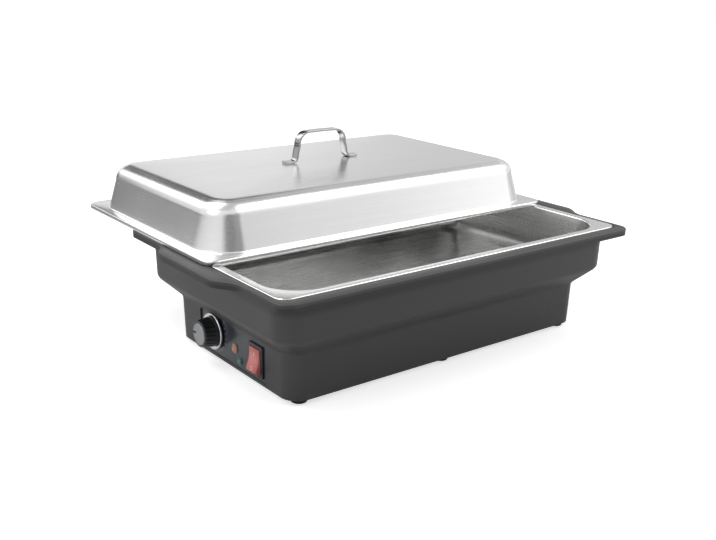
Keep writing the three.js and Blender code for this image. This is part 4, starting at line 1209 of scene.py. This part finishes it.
# The CAD nodes that keep their own shape
kept = {
    "blackPlastic": ["gland_nut", "thermal_cutout"],
    "nylon": ["thermostat_body", "amber_lamp_body", "green_lamp_body", "terminal_block"],
    "brassFitting": ["thermostat_nut"],
    "copperCapillary": ["thermostat_capillary"],
    "galvanisedSheet": ["bottom_plate", "heat_shield"],
    "brushedSteel": ["water_tray"],
    "siliconeSeal": ["tray_seal"],
    "castAluminium": ["heating_plate"],
    "elementSheath": ["heating_element"],
    "zincSteel": ["element_clamp_1", "element_clamp_2", "bulb_clip", "thermostat_shaft",
                  "handle_washer_1", "handle_washer_2", "handle_screw_1", "handle_screw_2",
                  *(f"foot_screw_{i}" for i in range(1, feet["count"] + 1))],
}
for finishName, nodes in kept.items():
    for node in nodes:
        for place in frame["nodes"][node].material_slots:
            place.material = finishes[finishName].material
print("carried-over nodes dressed")


# Floor, light and background
studio = {
    "floorSize": 16,
    "floorColour": (0.82, 0.82, 0.82),
    "floorGlow": 0.61,
    "floorMirrored": 0.18,
    "floorFade": {"from": 0.8, "to": 4, "share": 0.5},
    "floorRoughness": 0.9,
    "ambient": 0.28,
    "aim": (0, -0.05, 0.1),
    "lamps": {
        "key": {"place": (-2.4, -0.2, 1.7), "size": 1.5, "power": 12},
        "top": {"place": (1.5, -0.75, 2.0), "size": 1.6, "power": 25},
        "fill": {"place": (1.9, -2.4, 1.3), "size": 2.6, "power": 15},
        "back": {"place": (-0.9, 1.0, 2.4), "size": 1.8, "power": 42},
        "rear": {"place": (-0.95, 2.2, 1.5), "size": 1.0, "power": 6},
    },
    "dark": [
        {"from": (-0.25, 0.967, 0), "low": 0.965, "high": 0.99, "depth": 0.8},
        {"from": (0.4, -0.9, 0.15), "low": 0.85, "high": 1.0, "depth": 0.76},
        {"from": (-0.3, -0.95, 0.1), "low": 0.89, "high": 0.98, "depth": 0.75},
        {"from": (0.2, 0.85, 0.49), "low": 0.965, "high": 0.985, "depth": 0.95},
        {"from": (0.3, 0.62, 0.73), "low": 0.95, "high": 0.98, "depth": 0.85},
        {"from": (0.583, 0.44, 0.68), "low": 0.955, "high": 0.98, "depth": 0.38},
        {"from": (0, 0, 1), "low": 0.7, "high": 0.95, "depth": 0.4},
        {"from": (0.78, 0.6, 0.17), "low": 0.93, "high": 1.0, "depth": 0.32},
        {"from": (0.55, 0.74, 0.39), "low": 0.98, "high": 0.997, "depth": 0.15},
    ],
    "floorDark": {"towards": (-0.6, 0.8), "low": 0.34, "high": 0.9, "depth": 0.75},
}


def skyShare(paint, direction):  # a soft studio: pale all round, with dark gaps between the screens
    share = 1
    for gap in studio["dark"]:
        sockets = {0: direction, 1: Vector(gap["from"]).normalized()}
        nearness = paint.node("VectorMath", {"operation": "DOT_PRODUCT"}, sockets, "Value")
        share = share * (1 - nearness.step(gap["low"], gap["high"]) * gap["depth"])
    return share


class Backdrop(Paint):  # the world's nodes, wired in the same way
    def __init__(self, world):
        self.tree = world.node_tree
        self.surface = self.tree.nodes["Background"]


def makeFloor():
    clearSelection()
    bpy.ops.mesh.primitive_plane_add(size=studio["floorSize"], location=(0, 0, 0))
    floor = bpy.context.object
    floor.name = "studioFloor"
    paint = Paint("floorPaper", Roughness=studio["floorRoughness"])
    grain = paint.noise(300, detail=2)
    x, y = paint.axis("X"), paint.axis("Y")
    at = studio["floorDark"]
    reach = x * at["towards"][0] + y * at["towards"][1]
    dark = reach.step(at["low"], at["high"]) * at["depth"]
    paint.set("Base Color", paint.tint((0.98 + grain * 0.04) * (1 - dark), studio["floorColour"]))
    at = studio["floorFade"]
    away = (x * x + y * y).step(at["from"], at["to"]) * at["share"]
    glow = studio["floorGlow"] + (dark + away) * (1 - studio["floorGlow"])
    mirrored = paint.node("LightPath", out="Is Glossy Ray") * (1 - dark) * studio["floorMirrored"]
    glow = paint.node("LightPath", out="Is Camera Ray") * glow + mirrored
    paint.set("Emission Color", paint.tint(glow, (1, 1, 1)))
    paint.set("Emission Strength", 1)
    floor.data.materials.append(paint.material)


def makeLights():
    for name, at in studio["lamps"].items():
        lamp = bpy.data.lights.new(name + "Light", "AREA")
        lamp.energy = at["power"]
        lamp.size = at["size"]
        holder = bpy.data.objects.new(name + "Light", lamp)
        bpy.context.collection.objects.link(holder)
        holder.location = at["place"]
        aim = Vector(studio["aim"]) - Vector(at["place"])
        holder.rotation_euler = aim.to_track_quat("-Z", "Y").to_euler()


def makeSky():
    world = bpy.context.scene.world or bpy.data.worlds.new("studio")
    bpy.context.scene.world = world
    world.use_nodes = True
    paint = Backdrop(world)
    camera = paint.node("LightPath", out="Is Camera Ray")
    mirrored = paint.node("LightPath", out="Is Glossy Ray")
    mirrored = mirrored + paint.node("LightPath", out="Is Transmission Ray")
    shown = (camera + mirrored).step(0, 0.5)
    share = skyShare(paint, paint.node("TexCoord", out="Generated"))
    level = studio["ambient"] + shown * (1 - studio["ambient"])
    paint.set("Strength", level * (share + (1 - share) * camera))
    paint.set("Color", (1, 1, 1, 1))


makeFloor()
makeLights()
makeSky()
bpy.context.scene.view_settings.view_transform = "Standard"
print("studio set")
